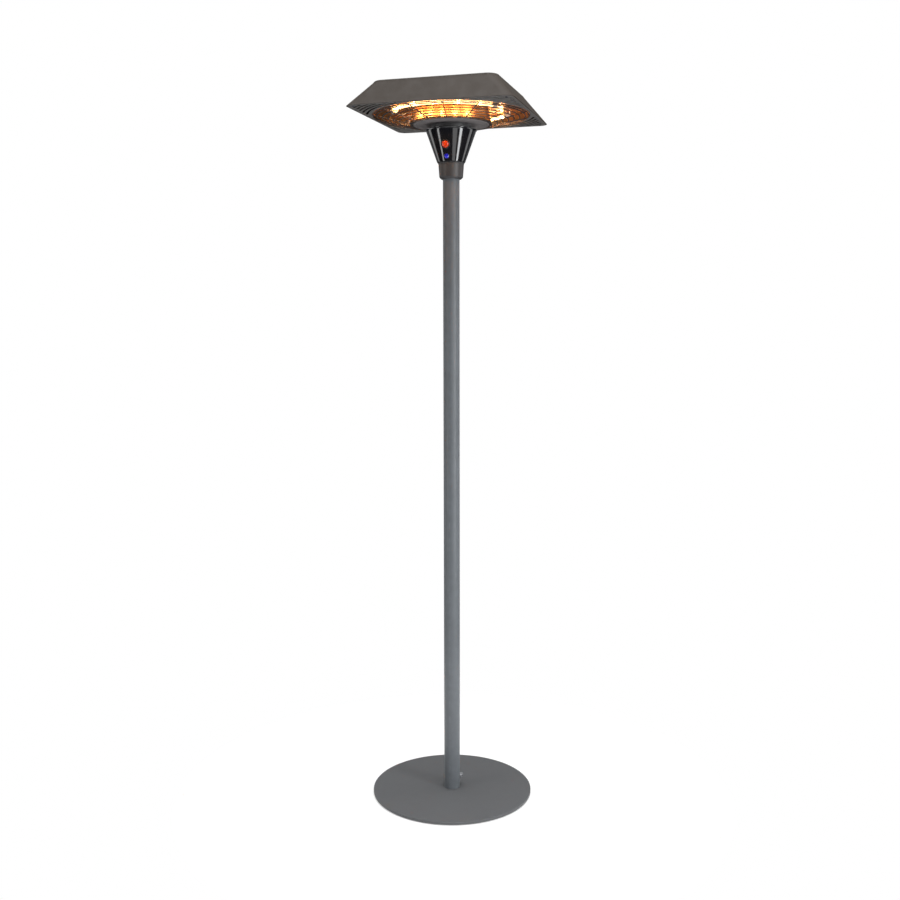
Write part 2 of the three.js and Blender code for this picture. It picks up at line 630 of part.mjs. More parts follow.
// Each lamp end has a ceramic cap along the circle, in a saddle fixed under the reflector.
function lampEnd({ cap: angle }, index) {
  const { sheet, width, reach } = HOLDER;
  const name = `${Math.floor(index / 2) + 1}_${(index % 2) + 1}`;
  const seat = group(...polar(LAMP.circle, angle), LAMP.height, 0, 0, angle * DEG);
  const half = CAP.length / 2;
  add(`lamp_cap_${name}`, rod(CAP.radius, -half, half, 14).rotateX(Math.PI / 2), ceramic, seat);
  const span = CAP.radius + GAP;
  const roof = MIRROR.high - LAMP.height - GAP;
  const saddle = new THREE.Shape([
    new THREE.Vector2(-span - sheet, -reach),
    new THREE.Vector2(-span, -reach),
    new THREE.Vector2(-span, roof - sheet),
    new THREE.Vector2(span, roof - sheet),
    new THREE.Vector2(span, -reach),
    new THREE.Vector2(span + sheet, -reach),
    new THREE.Vector2(span + sheet, roof),
    new THREE.Vector2(-span - sheet, roof),
  ]);
  const clip = raised(saddle, -width / 2, width / 2).rotateX(Math.PI / 2);
  add(`lamp_holder_${name}`, clip, steel, seat);
}

// Sleeved loom over the reflector: a ring, a branch to each lamp end and the feed down the neck.
function lampLoom() {
  const { circle, sleeve, height, feed } = LOOM;
  const loop = turned([
    [circle - sleeve, height],
    [circle, height - sleeve],
    [circle + sleeve, height],
    [circle, height + sleeve],
  ]);
  const branches = lampEnds.flatMap(({ wire }) => {
    const across = rod(sleeve, circle, LAMP.circle, 8).rotateY(Math.PI / 2);
    across.translate(0, 0, height);
    const down = rod(sleeve, LAMP.height + 1, height + sleeve, 8).translate(LAMP.circle, 0, 0);
    return [across.rotateZ(wire * DEG), down.rotateZ(wire * DEG)];
  });
  const back = rodToRear(feed, WIRE_HOLE.y, circle, 8).translate(0, 0, height);
  const drop = rod(feed, LOOM.end, height + feed, 10).translate(0, WIRE_HOLE.y, 0);
  add("lamp_loom", join(loop, back, drop, ...branches), silicone);
}

// The feed inside the object: from the gland up the pole and out of the neck tube.
function supplyLead() {
  const { radius, exit, bend, end } = LEAD;
  const at = (y, z) => new THREE.Vector3(0, y, z);
  const inlet = new THREE.CurvePath();
  inlet.add(new THREE.LineCurve3(at(30, GLAND.height), at(12, GLAND.height)));
  const turnUp = [at(12, GLAND.height), at(0, GLAND.height), at(0, GLAND.height + bend)];
  inlet.add(new THREE.QuadraticBezierCurve3(...turnUp));
  inlet.add(new THREE.LineCurve3(at(0, GLAND.height + bend), at(0, GLAND.height + bend + 10)));
  const outlet = new THREE.CurvePath();
  outlet.add(new THREE.LineCurve3(at(0, exit - bend - 10), at(0, exit - bend)));
  outlet.add(new THREE.QuadraticBezierCurve3(at(0, exit - bend), at(0, exit), at(12, exit)));
  outlet.add(new THREE.LineCurve3(at(12, exit), at(end.y - 10, exit)));
  const turnIn = [at(end.y - 10, exit), at(end.y, exit), at(end.y, end.z)];
  outlet.add(new THREE.QuadraticBezierCurve3(...turnIn));
  const run = rod(radius, GLAND.height + bend + 4, exit - bend - 4, 8);
  const entry = bar(inlet, radius, 10, 8).rotateZ(GLAND.turn * DEG);
  const lead = join(run, entry, bar(outlet, radius, 14, 8));
  add("supply_lead", lead, rubber);
}

function roofSpace() {
  const z = SHIELD.height;
  const posts = [[-1, -1], [1, -1], [1, 1], [-1, 1]].map(([a, b]) => [
    a * POST.offset,
    b * POST.offset,
  ]);
  const disc = ring(SHIELD.hole, SHIELD.radius, z, z + SHIELD.sheet, 32);
  const tools = posts.map(([x, y]) =>
    rod(POST.radius + POST.clear, z - 1, z + 3, 10).translate(x, y, 0),
  );
  add("heat_shield", cut(disc, ...tools), steel);
  posts.forEach(([x, y], i) => {
    const foot = MIRROR.high + MIRROR.sheet + GAP;
    const post = rod(POST.radius, foot, TOP - HOOD.sheet - GAP, 10);
    add(`hood_post_${i + 1}`, post, steel, group(x, y, 0));
  });
  const { flange, flangeHeight, can: width, height } = CUTOUT;
  const can = turned([
    [0, 0],
    [flange, 0],
    [flange, flangeHeight],
    [width, flangeHeight],
    [width, height],
    [0, height],
  ], 24);
  const seat = group(CUTOUT.x, 0, MIRROR.high + MIRROR.sheet + GAP);
  add("thermal_cutout", can, steel, seat);
}

base();
pole();
collar();
neck();
controls();
supplyLead();
centrePlate();
guard();
rimFrame();
hood();
reflector();
for (let i = 0; i < LAMP.count; i++) lamp(i);
lampEnds.forEach(lampEnd);
lampLoom();
roofSpace();

export default part;
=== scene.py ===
"""Free-standing patio heater: the visible surfaces, materials, light and camera around its CAD frame.

Metres, +Z up, front at -Y. Round pieces turn about the pole's axis, which is the Z axis.
"""
import math

import bmesh
import bpy
from mathutils import Matrix, Vector


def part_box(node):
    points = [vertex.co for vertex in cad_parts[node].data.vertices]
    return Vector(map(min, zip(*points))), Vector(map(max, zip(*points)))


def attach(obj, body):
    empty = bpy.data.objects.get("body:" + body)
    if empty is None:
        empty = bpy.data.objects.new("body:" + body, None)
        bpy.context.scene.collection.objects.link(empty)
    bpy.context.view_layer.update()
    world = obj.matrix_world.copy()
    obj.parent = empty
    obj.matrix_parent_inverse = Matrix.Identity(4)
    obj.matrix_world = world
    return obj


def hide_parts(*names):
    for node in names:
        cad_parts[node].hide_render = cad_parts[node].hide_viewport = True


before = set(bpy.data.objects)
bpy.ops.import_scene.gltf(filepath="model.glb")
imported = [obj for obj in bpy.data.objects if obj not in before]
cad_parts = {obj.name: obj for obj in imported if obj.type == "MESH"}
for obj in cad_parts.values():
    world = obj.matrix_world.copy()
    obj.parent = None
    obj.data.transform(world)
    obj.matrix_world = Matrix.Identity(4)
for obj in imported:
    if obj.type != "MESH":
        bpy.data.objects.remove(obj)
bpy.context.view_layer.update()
scene = bpy.context.scene

# ---------------------------------------------------------------- sizes that a node's box can't give
MM = 0.001
COLLAR_FOOT = 28.6 * MM
COLLAR_LOW = 34.1 * MM
COLLAR_CHAMFER = 5 * MM
CONE_LOW = 40.2 * MM
CONE_SHOULDER = 71.9 * MM
CONE_RIM_HEIGHT = 4 * MM
CONE_RIM_EDGE = 1.5 * MM
CONE_WALL = 2.5 * MM
BUTTON_Z = 1.9376
LENS_Z = 1.906
GUARD_PITCH = 16 * MM
GUARD_FIRST = 132.5 * MM
GUARD_RINGS = 6
GUARD_SPOKES = 14
FIRST_SPOKE = 23.4
WIRE = 1.45 * MM
FRAME_OPENING = 226 * MM
SLOT_FIRST = 240 * MM
SLOT_PITCH = 13.5 * MM
SLOT_WIDTH = 7.5 * MM
SLOT_COUNT = 5
SLOT_BORDER = 9 * MM
HOOD_ROOF = 175.2 * MM
LAMP_CIRCLE = 165 * MM
LAMP_FIRST = -90
LAMP_SPAN = 116
LAMP_COUNT = 2
CAP_LENGTH = 20 * MM
CAP_CLEAR = 1 * MM
CAP_TAIL = 4 * MM
CLEAR = 0.3 * MM
PAD_POCKET = 14.3 * MM
PAD_DEPTH = 3.5 * MM
WASHER_POCKET = 13 * MM
BOLT_HOLE = 4.6 * MM
POLE_WALL = 1.5 * MM
GLAND_TURN = 52
GLAND_BORE = 4.5 * MM
GLAND_BARREL = 6.5 * MM
GLAND_FLANGE = 9.5 * MM
GLAND_NOSE = 15 * MM
GLAND_RIBS = 4
GLAND_INSIDE = 6 * MM
GRUB_HOLE = 2.8 * MM
CONE_FLOOR = 3 * MM
CONE_LIP = 54.5 * MM
BUTTON_CAP = 9.9 * MM
BUTTON_BORE = 10.3 * MM
BUTTON_BARREL = 11.7 * MM
BUTTON_FLANGE = 13.6 * MM
LENS_CAP = 6.5 * MM
LENS_BORE = 6.8 * MM
LENS_BARREL = 7.6 * MM
LENS_FLANGE = 8.6 * MM
PLATE_SHEET = 1.5 * MM
WIRE_WAY = 8 * MM
WIRE_WAY_Y = 50 * MM
GUARD_CLEAR = 1.2 * MM
GUARD_BAND = 7.8 * MM
GUARD_DROP = 1.8 * MM
GUARD_BEAD = 0.9 * MM
HOOKS = 4
HOOK_WIDTH = 6 * MM
HOOK_THIN = 0.45
FRAME_CORNER = 26 * MM
SCREW_HOLE = 2.3 * MM
SCREW_HEAD = 2.2 * MM
SCREW_SOCKET = 1.5 * MM
SCREW_THREADS = 6
HOOD_SHEET = 1.5 * MM
HOOD_BEND = 5 * MM
HOOD_LIP = 0.8 * MM
HOOD_TUCK = 0.7 * MM
SLANT = 1.3
HOOD_CORNER_LOW = 26.5 * MM
HOOD_CORNER_HIGH = 30.8 * MM
MIRROR_SHEET = 1.2 * MM
MIRROR_HOLE = 66 * MM
MIRROR_FLAT = 195 * MM
LOOM_HOLE = 3.4 * MM
DRUM_HIGH = 111 * MM
DRUM_SHEET = 1.2 * MM
DRUM_FLOOR_RISE = 1.1 * MM
SPACER_INNER = 55.5 * MM
COIL_RADIUS = 1.9 * MM
COIL_WIRE = 0.4 * MM
COIL_TURNS = 110
COIL_STEPS = 10
PADS = [f"foot_pad_{number}" for number in (1, 2, 3, 4)]
CAD_MATERIALS = {
    "steel": (
        "base_bolt",
        "base_washer",
        "pole_spigot",
        "collar_screw",
        "neck_tube",
        "neck_flange",
        "neck_lock_nut",
        "terminal_bracket",
        "tilt_switch_pendulum",
        *(f"lamp_holder_{lamp}_{end}" for lamp in (1, 2) for end in (1, 2)),
        "heat_shield",
        *(f"hood_post_{number}" for number in (1, 2, 3, 4)),
        "thermal_cutout",
    ),
    "nylon": ("cable_gland_nut", "neck_bush", "terminal_block"),
    "dark": ("switch_body", "tilt_switch_case"),
    "rubber": ("supply_lead",),
    "sleeve": ("lamp_loom",),
}

# ---------------------------------------------------------------- camera and light
CAMERA_TURN = 16.54
CAMERA_TILT = 7.006
CAMERA_YAW = 0.088
CAMERA_ROLL = -0.1
CAMERA_DISTANCE = 3.1617
CAMERA_HEIGHT = 1.4471
CAMERA_LENS = 42.78
SENSOR_WIDTH = 36
PANEL_HEIGHT = 1.2
PANEL_TALL = 2.3
AMBIENT = 0.15
GLOW_POINTS = 5
GLOW_POWER = 0.28
GLOW_COLOUR = (1.0, 0.5, 0.2)
FLOOR_BOUNCE = 0.9

# ---------------------------------------------------------------- node helpers
def feed(tree, socket, value):
    """Links an output to the input, or sets the input's own value."""
    if isinstance(value, bpy.types.NodeSocket):
        tree.links.new(value, socket)
    else:
        socket.default_value = value


def connect(tree, node, **inputs):
    """Feeds inputs by name with spaces as underscores: a number, a colour or a socket."""
    for key, value in inputs.items():
        feed(tree, node.inputs[key.replace("_", " ")], value)
    return node


def add_node(tree, kind, settings=None, **inputs):
    node = tree.nodes.new(kind)
    for key, value in (settings or {}).items():
        setattr(node, key, value)
    return connect(tree, node, **inputs)


def coordinates(tree):
    return add_node(tree, "ShaderNodeTexCoord").outputs["Object"]


def noise(tree, vector, scale, detail=2.0, roughness=0.5):
    settings = {"Vector": vector, "Scale": scale, "Detail": detail, "Roughness": roughness}
    return add_node(tree, "ShaderNodeTexNoise", **settings).outputs["Fac"]


def line_noise(tree, along, scale, detail):
    """Noise that changes only with one number."""
    settings = {"noise_dimensions": "1D"}
    node = add_node(tree, "ShaderNodeTexNoise", settings, W=along, Scale=scale, Detail=detail)
    return node.outputs["Fac"]


def remap(tree, value, low, high, to_low, to_high):
    node = add_node(tree, "ShaderNodeMapRange", Value=value, From_Min=low, From_Max=high)
    return connect(tree, node, To_Min=to_low, To_Max=to_high).outputs["Result"]


def blend_colours(tree, factor, first, second):
    node = add_node(tree, "ShaderNodeMix", {"data_type": "RGBA"})
    for index, value in ((0, factor), (6, first), (7, second)):
        feed(tree, node.inputs[index], value)
    return node.outputs[2]


def maths(tree, operation, first, second=0.0):
    node = add_node(tree, "ShaderNodeMath", {"operation": operation})
    feed(tree, node.inputs[0], first)
    feed(tree, node.inputs[1], second)
    return node.outputs[0]


def vector_maths(tree, operation, first, second=(0, 0, 0)):
    node = add_node(tree, "ShaderNodeVectorMath", {"operation": operation})
    tree.links.new(first, node.inputs[0])
    node.inputs[1].default_value = second
    return node


def bump(tree, height, distance, strength=1.0, normal=None):
    node = add_node(tree, "ShaderNodeBump", Height=height, Distance=distance, Strength=strength)
    if normal is not None:
        tree.links.new(normal, node.inputs["Normal"])
    return node.outputs["Normal"]


def camera_split(tree, rays, seen):
    """The second shader for what the camera sees directly, and the first for every other ray."""
    path = add_node(tree, "ShaderNodeLightPath")
    both = add_node(tree, "ShaderNodeMixShader", Fac=path.outputs["Is Camera Ray"])
    tree.links.new(rays.outputs[0], both.inputs[1])
    tree.links.new(seen.outputs[0], both.inputs[2])
    return both


def rgba(red, green, blue):
    return (red, green, blue, 1.0)


def scaled(colour, factor):
    return rgba(*(min(1.0, c * factor) for c in colour[:3]))


def edges(tree, low=0.515, high=0.56):
    """0 on flat ground and 1 on outer edges."""
    pointiness = add_node(tree, "ShaderNodeNewGeometry").outputs["Pointiness"]
    return remap(tree, pointiness, low, high, 0.0, 1.0)


def new_material(name):
    material = bpy.data.materials.new(name)
    material.use_nodes = True
    tree = material.node_tree
    return material, tree, tree.nodes["Principled BSDF"]


# ---------------------------------------------------------------- materials
def powder_coat(name, colour, roughness=0.5, spread=0.07, specular=0.45, uneven=0.07, edge_highlight=0.55):
    """Baked powder: fine pebbled grain over slow orange peel, with a painted highlight in patches along outer
    edges.
    """
    material, tree, bsdf = new_material(name)
    where = coordinates(tree)
    cloud = noise(tree, where, 6, 4, 0.6)
    grain = noise(tree, where, 1400, 2)
    peel = noise(tree, where, 260, 3)
    speck = remap(tree, noise(tree, where, 2600, 1), 0.62, 0.72, 0.0, 0.35)
    mottle = remap(tree, cloud, 0.3, 0.7, 0, 1)
    body = blend_colours(tree, mottle, scaled(colour, 1 - spread), scaled(colour, 1 + spread))
    body = blend_colours(tree, speck, body, scaled(colour, 1.55))
    # Painted highlight: outer edges are lightened in noise patches.
    patches = remap(tree, noise(tree, where, 45, 3), 0.4, 0.7, 0, edge_highlight)
    painted_edge_highlight = maths(tree, "MULTIPLY", edges(tree), patches)
    body = blend_colours(tree, painted_edge_highlight, body, scaled(colour, 1.7))
    dull = noise(tree, where, 28, 4, 0.65)
    rough = remap(tree, dull, 0.3, 0.7, roughness - uneven, roughness + uneven)
    normal = bump(tree, grain, 0.00003, 0.8, bump(tree, peel, 0.00012, 0.5))
    connect(tree, bsdf, Base_Color=body, Roughness=rough, Normal=normal)
    bsdf.inputs["Specular IOR Level"].default_value = specular
    return material


def gloss_black():
    """Injection-moulded gloss housing with fine handling marks."""
    material, tree, bsdf = new_material("gloss_black")
    where = coordinates(tree)
    smear = noise(tree, where, 35, 5, 0.7)
    body = blend_colours(tree, smear, rgba(0.006, 0.006, 0.008), rgba(0.013, 0.013, 0.016))
    stretched = add_node(tree, "ShaderNodeMapping", Vector=where, Scale=(1.0, 1.0, 9.0)).outputs[0]
    hairline = remap(tree, noise(tree, stretched, 420, 2), 0.66, 0.7, 0.0, 0.16)
    rough = maths(tree, "ADD", remap(tree, smear, 0.3, 0.7, 0.07, 0.15), hairline)
    normal = bump(tree, noise(tree, where, 60, 2), 0.0004, 0.12)
    connect(tree, bsdf, Base_Color=body, Roughness=rough, Normal=normal)
    bsdf.inputs["Specular IOR Level"].default_value = 0.6
    bsdf.inputs["Coat Weight"].default_value = 0.5
    bsdf.inputs["Coat Roughness"].default_value = 0.05
    return material


def moulded(name, colour, roughness=0.45, texture=900):
    """Spark-eroded plastic: closed cells of fine grain."""
    material, tree, bsdf = new_material(name)
    where = coordinates(tree)
    cells = add_node(tree, "ShaderNodeTexVoronoi", Vector=where, Scale=texture).outputs["Distance"]
    cloud = noise(tree, where, 22, 4, 0.6)
    body = blend_colours(tree, cloud, scaled(colour, 0.88), scaled(colour, 1.14))
    # Painted highlight: outer edges are lightened in noise patches.
    painted_edge_sheen = maths(tree, "MULTIPLY", edges(tree), remap(tree, noise(tree, where, 120), 0.45, 0.7, 0, 0.6))
    body = blend_colours(tree, painted_edge_sheen, body, scaled(colour, 1.9))
    dull = noise(tree, where, 60, 3)
    rough = remap(tree, dull, 0.3, 0.7, roughness - 0.06, roughness + 0.06)
    normal = bump(tree, cells, 0.00005, 0.6)
    connect(tree, bsdf, Base_Color=body, Roughness=rough, Normal=normal)
    return material


def copper_mirror():
    """Spun reflector: circular tool lines, heat-tinted bands and shallow dents."""
    material, tree, bsdf = new_material("copper_mirror")
    where = coordinates(tree)
    level = vector_maths(tree, "MULTIPLY", where, (1, 1, 0)).outputs[0]
    radius = vector_maths(tree, "LENGTH", level).outputs["Value"]
    height = add_node(tree, "ShaderNodeSeparateXYZ", Vector=where).outputs["Z"]
    along = maths(tree, "ADD", radius, height)
    lines = line_noise(tree, along, 900.0, 3.0)
    bands = line_noise(tree, along, 70.0, 2.0)
    body = blend_colours(tree, bands, rgba(0.82, 0.42, 0.16), rgba(0.90, 0.54, 0.27))
    soot = remap(tree, noise(tree, where, 24, 4, 0.6), 0.5, 0.8, 0, 0.35)
    body = blend_colours(tree, soot, body, rgba(0.55, 0.25, 0.12))
    rough = remap(tree, maths(tree, "ADD", lines, soot), 0.3, 1.1, 0.26, 0.44)
    normal = bump(tree, lines, 0.00002, 0.5, bump(tree, noise(tree, where, 30, 2), 0.0007, 0.35))
    connect(tree, bsdf, Base_Color=body, Roughness=rough, Normal=normal, Metallic=1.0)
    return material


def plated_steel(name="zinc_steel", colour=rgba(0.55, 0.56, 0.57)):
    """Zinc plate: spangled tone, drawn grain and dull patches."""
    material, tree, bsdf = new_material(name)
    where = coordinates(tree)
    spangle = add_node(tree, "ShaderNodeTexVoronoi", Vector=where, Scale=190.0).outputs["Color"]
    tone = add_node(tree, "ShaderNodeRGBToBW", Color=spangle).outputs[0]
    body = blend_colours(tree, tone, scaled(colour, 0.85), scaled(colour, 1.15))
    dull = remap(tree, noise(tree, where, 50, 4, 0.6), 0.45, 0.75, 0, 1)
    body = blend_colours(tree, maths(tree, "MULTIPLY", dull, 0.4), body, scaled(colour, 0.6))
    rough = remap(tree, dull, 0, 1, 0.28, 0.5)
    drawn = add_node(tree, "ShaderNodeMapping", Vector=where, Scale=(1.0, 1.0, 0.05)).outputs[0]
    normal = bump(tree, noise(tree, drawn, 1500), 0.00002, 0.5)
    connect(tree, bsdf, Base_Color=body, Roughness=rough, Normal=normal, Metallic=1.0)
    return material


def ceramic():
    """Unglazed steatite with fired specks."""
    material, tree, bsdf = new_material("ceramic")
    where = coordinates(tree)
    speck = remap(tree, noise(tree, where, 1300, 1), 0.64, 0.7, 0, 0.5)
    cloud = noise(tree, where, 90, 3)
    body = blend_colours(tree, cloud, rgba(0.62, 0.56, 0.46), rgba(0.76, 0.71, 0.62))
    body = blend_colours(tree, speck, body, rgba(0.3, 0.2, 0.13))
    rough = remap(tree, cloud, 0.3, 0.7, 0.6, 0.8)
    normal = bump(tree, noise(tree, where, 900, 3), 0.00006, 0.6)
    connect(tree, bsdf, Base_Color=body, Roughness=rough, Normal=normal)
    return material


def quartz(name, colour, glow, strength, alpha):
    """Quartz tube, hazed a little by the heat inside."""
    material, tree, bsdf = new_material(name)
    where = coordinates(tree)
    haze = noise(tree, where, 70, 4, 0.6)
    body = blend_colours(tree, haze, scaled(colour, 0.92), scaled(colour, 1.05))
    rough = remap(tree, haze, 0.3, 0.7, 0.04, 0.12)
    normal = bump(tree, haze, 0.0002, 0.1)
    glowing = remap(tree, haze, 0.3, 0.7, strength * 0.9, strength * 1.1)
    connect(tree, bsdf, Base_Color=body, Roughness=rough, Normal=normal, Alpha=alpha)
    connect(tree, bsdf, Emission_Color=glow, Emission_Strength=glowing)
    return material


def filament(name, glow, strength):
    """Tungsten coil."""
    material, tree, bsdf = new_material(name)
    where = coordinates(tree)
    uneven = noise(tree, where, 55, 3)
    body = blend_colours(tree, uneven, rgba(0.1, 0.1, 0.11), rgba(0.2, 0.19, 0.19))
    rough = remap(tree, uneven, 0.3, 0.7, 0.35, 0.5)
    glowing = remap(tree, uneven, 0.3, 0.7, strength * 0.85, strength * 1.15)
    connect(tree, bsdf, Base_Color=body, Roughness=rough, Metallic=0.9)
    connect(tree, bsdf, Emission_Color=glow, Emission_Strength=glowing)
    return material


def lit_plastic(name, colour, glow, strength, roughness, spot):
    """Translucent plastic with a lamp behind it: brightest where the lamp stands."""
    material, tree, bsdf = new_material(name)
    where = coordinates(tree)
    offset = vector_maths(tree, "DISTANCE", where, spot["centre"])
    near = remap(tree, offset.outputs["Value"], 0.0, spot["reach"], 1.0, 0.25)
    grain = noise(tree, where, 600, 3)
    body = blend_colours(tree, grain, scaled(colour, 0.85), scaled(colour, 1.1))
    rough = remap(tree, grain, 0.3, 0.7, roughness, roughness + 0.08)
    glowing = maths(tree, "MULTIPLY", near, strength)
    normal = bump(tree, grain, 0.00003, 0.4)
    connect(tree, bsdf, Base_Color=body, Roughness=rough, Normal=normal)
    connect(tree, bsdf, Emission_Color=glow, Emission_Strength=glowing)
    bsdf.inputs["Coat Weight"].default_value = 0.6
    return material


def braided_sleeve():
    """Lacquered glass braid: two crossed sets of threads."""
    material, tree, bsdf = new_material("silicone_sleeve")
    where = coordinates(tree)
    threads = []
    for angle in (0.0, math.pi / 2):
        turned = add_node(tree, "ShaderNodeMapping", Vector=where, Rotation=(0.0, 0.0, angle))
        settings = {"wave_type": "BANDS", "bands_direction": "DIAGONAL"}
        wave = add_node(tree, "ShaderNodeTexWave", settings, Vector=turned.outputs[0], Scale=700.0)
        threads.append(wave.outputs["Fac"])
    braid = maths(tree, "MAXIMUM", *threads)
    body = blend_colours(tree, braid, rgba(0.12, 0.03, 0.015), rgba(0.34, 0.1, 0.05))
    normal = bump(tree, braid, 0.0002, 0.6)
    connect(tree, bsdf, Base_Color=body, Roughness=0.6, Normal=normal)
    return material


def floor_material():
    """A pale sweep. It lights the heater only from just below, as if flagged off further out."""
    material, tree, bsdf = new_material("studio_floor")
    tree.nodes.remove(bsdf)
    where = coordinates(tree)
    radius = vector_maths(tree, "LENGTH", where).outputs["Value"]
    tone = blend_colours(tree, noise(tree, where, 3, 3), rgba(0.95, 0.95, 0.95), rgba(0.97, 0.97, 0.97))
    matt = add_node(tree, "ShaderNodeBsdfDiffuse", Color=tone)
    lit = add_node(tree, "ShaderNodeEmission", Color=rgba(1, 1, 1), Strength=1.0)
    seen = add_node(tree, "ShaderNodeMixShader", Fac=remap(tree, radius, 0.3, 0.85, 0.25, 1.0))
    tree.links.new(matt.outputs[0], seen.inputs[1])
    tree.links.new(lit.outputs[0], seen.inputs[2])
    bounce = remap(tree, radius, 0.7, 1.4, FLOOR_BOUNCE, 0.03)
    flagged = add_node(tree, "ShaderNodeBsdfDiffuse", Color=bounce)
    both = camera_split(tree, flagged, seen)
    tree.links.new(both.outputs[0], tree.nodes["Material Output"].inputs["Surface"])
    return material


# Painted light: the frame flange and centre plate face down into shade under the hood, and their greys are
# lightened well above the hood's to stand in for light.
HOOD_GREY = rgba(0.060, 0.049, 0.041)
POLE_GREY = rgba(0.142, 0.155, 0.168)
BASE_GREY = rgba(0.095, 0.098, 0.102)
MATERIALS = {
    "hood": powder_coat("hood_powder", HOOD_GREY, roughness=0.6, spread=0.05, specular=0.12),
    "flange": powder_coat("flange_powder_lightened_for_shade", rgba(0.165, 0.156, 0.150)),
    "plate": powder_coat("plate_powder_lightened_for_shade", rgba(0.20, 0.182, 0.182)),
    "wire": powder_coat("wire_powder", rgba(0.045, 0.035, 0.032)),
    "pole": powder_coat("pole_powder", POLE_GREY, roughness=0.42),
    "base": powder_coat(
        "base_powder", BASE_GREY, roughness=0.58, spread=0.02, specular=0.4, uneven=0.02, edge_highlight=0.0
    ),
    "gloss": gloss_black(),
    "dark": moulded("dark_plastic", rgba(0.055, 0.054, 0.056), 0.42),
    "bezel": moulded("bezel_plastic", rgba(0.02, 0.02, 0.021), 0.3, 1400),
    "copper": copper_mirror(),
    "steel": plated_steel(),
    "blackened": plated_steel("blackened_steel", rgba(0.10, 0.10, 0.12)),
    "ceramic": ceramic(),
    "lit": quartz("lit_quartz", rgba(1.0, 0.78, 0.5), rgba(1.0, 0.60, 0.26), 1.8, 0.5),
    "hot": filament("hot_filament", rgba(1.0, 0.70, 0.38), 20.0),
    "rubber": moulded("rubber", rgba(0.022, 0.022, 0.023), 0.7, 700),
    "nylon": moulded("nylon", rgba(0.62, 0.61, 0.58), 0.45, 800),
    "gland": moulded("gland_plastic", rgba(0.2, 0.205, 0.215), 0.35, 800),
    "sleeve": braided_sleeve(),
}


# ---------------------------------------------------------------- mesh helpers
def rounded(points, radius, steps=4, closed=False):
    """The same outline with each inner corner turned into a small curve. A third number sets its own size."""
    result = []
    count = len(points)
    for i, point in enumerate(points):
        own = point[2] if len(point) > 2 else radius
        here = Vector(point[:2])
        if own == 0 or (not closed and i in (0, count - 1)):
            result.append(tuple(here))
            continue
        before = Vector(points[i - 1][:2]) - here
        after = Vector(points[(i + 1) % count][:2]) - here
        reach = min(own, before.length * 0.48, after.length * 0.48)
        start = here + before.normalized() * reach
        end = here + after.normalized() * reach
        for step in range(steps + 1):
            t = step / steps
            result.append(tuple(start * (1 - t) ** 2 + here * 2 * t * (1 - t) + end * t ** 2))
    return result


def turn(bm, profile, segments=128, closed=False, matrix=None):
    """Turns a list of (radius, z) about +Z. Points on the axis become one vertex."""
    rings = []
    for radius, z in profile:
        if radius < 1e-7:
            rings.append([bm.verts.new((0, 0, z))])
            continue
        angles = (2 * math.pi * i / segments for i in range(segments))
        rings.append([bm.verts.new((radius * math.cos(a), radius * math.sin(a), z)) for a in angles])
    pairs = list(zip(rings, rings[1:]))
    if closed:
        pairs.append((rings[-1], rings[0]))
    for low, high in pairs:
        for i in range(segments):
            j = (i + 1) % segments
            corners = [low[i % len(low)], low[j % len(low)], high[j % len(high)], high[i % len(high)]]
            unique = list(dict.fromkeys(corners))
            if len(unique) > 2:
                bm.faces.new(unique)
    if matrix is not None:
        bmesh.ops.transform(bm, matrix=matrix, verts=[v for ring in rings for v in ring])
    return bm


def lathe(profile, segments=128, closed=False, matrix=None):
    return turn(bmesh.new(), profile, segments, closed, matrix)


def hollow(outline, rounding, steps, segments, matrix=None):
    """A turned part with a bore, from a closed outline with softened corners."""
    return lathe(rounded(outline, rounding, steps, True), segments, True, matrix)


def sweep(bm, path, radius, sides=8, closed=False):
    """A round tube along points, capped at its ends unless it closes on itself."""
    count = len(path)
    normal = None
    rings = []
    for i, point in enumerate(path):
        ahead = path[(i + 1) % count] if closed else path[min(i + 1, count - 1)]
        behind = path[i - 1] if closed else path[max(i - 1, 0)]
        tangent = (Vector(ahead) - Vector(behind)).normalized()
        if normal is None:
            helper = Vector((0, 0, 1)) if abs(tangent.z) < 0.9 else Vector((1, 0, 0))
            normal = helper.cross(tangent).normalized()
        normal = (normal - tangent * normal.dot(tangent)).normalized()
        side = tangent.cross(normal)
        ring = []
        for k in range(sides):
            angle = 2 * math.pi * k / sides
            out = normal * math.cos(angle) + side * math.sin(angle)
            ring.append(bm.verts.new(Vector(point) + out * radius))
        rings.append(ring)
    for i in range(count if closed else count - 1):
        low, high = rings[i], rings[(i + 1) % count]
        for k in range(sides):
            n = (k + 1) % sides
            bm.faces.new((low[k], low[n], high[n], high[k]))
    if not closed:
        bm.faces.new(list(reversed(rings[0])))
        bm.faces.new(rings[-1])
    return bm


def polar(radius, degrees, z=0.0):
    angle = math.radians(degrees)
    return Vector((radius * math.cos(angle), radius * math.sin(angle), z))


def rounded_square(half, radius, z, arc=12):
    """Points round a square with rounded corners, counter-clockwise."""
    points = []
    for corner in range(4):
        diagonal = math.radians(corner * 90 + 45)
        cx = math.copysign(half - radius, math.cos(diagonal))
        cy = math.copysign(half - radius, math.sin(diagonal))
        for step in range(arc + 1):
            angle = math.radians(corner * 90 + 90 * step / arc)
            points.append((cx + radius * math.cos(angle), cy + radius * math.sin(angle), z))
    return points


def loft(sections):
    """A skin through outlines with equal numbers of points, closed at both ends by a flat face."""
    bm = bmesh.new()
    rings = [[bm.verts.new(p) for p in section] for section in sections]
    for low, high in zip(rings, rings[1:]):
        for i in range(len(low)):
            j = (i + 1) % len(low)
            bm.faces.new((low[i], low[j], high[j], high[i]))
    bm.faces.new(list(reversed(rings[0])))
    bm.faces.new(rings[-1])
    return bm


def shade(bm, sharp):
    """Smooth shading, broken where two faces meet at more than the sharp angle."""
    for face in bm.faces:
        face.smooth = True
    for edge in bm.edges:
        edge.smooth = len(edge.link_faces) == 2 and edge.calc_face_angle(0) < math.radians(sharp)


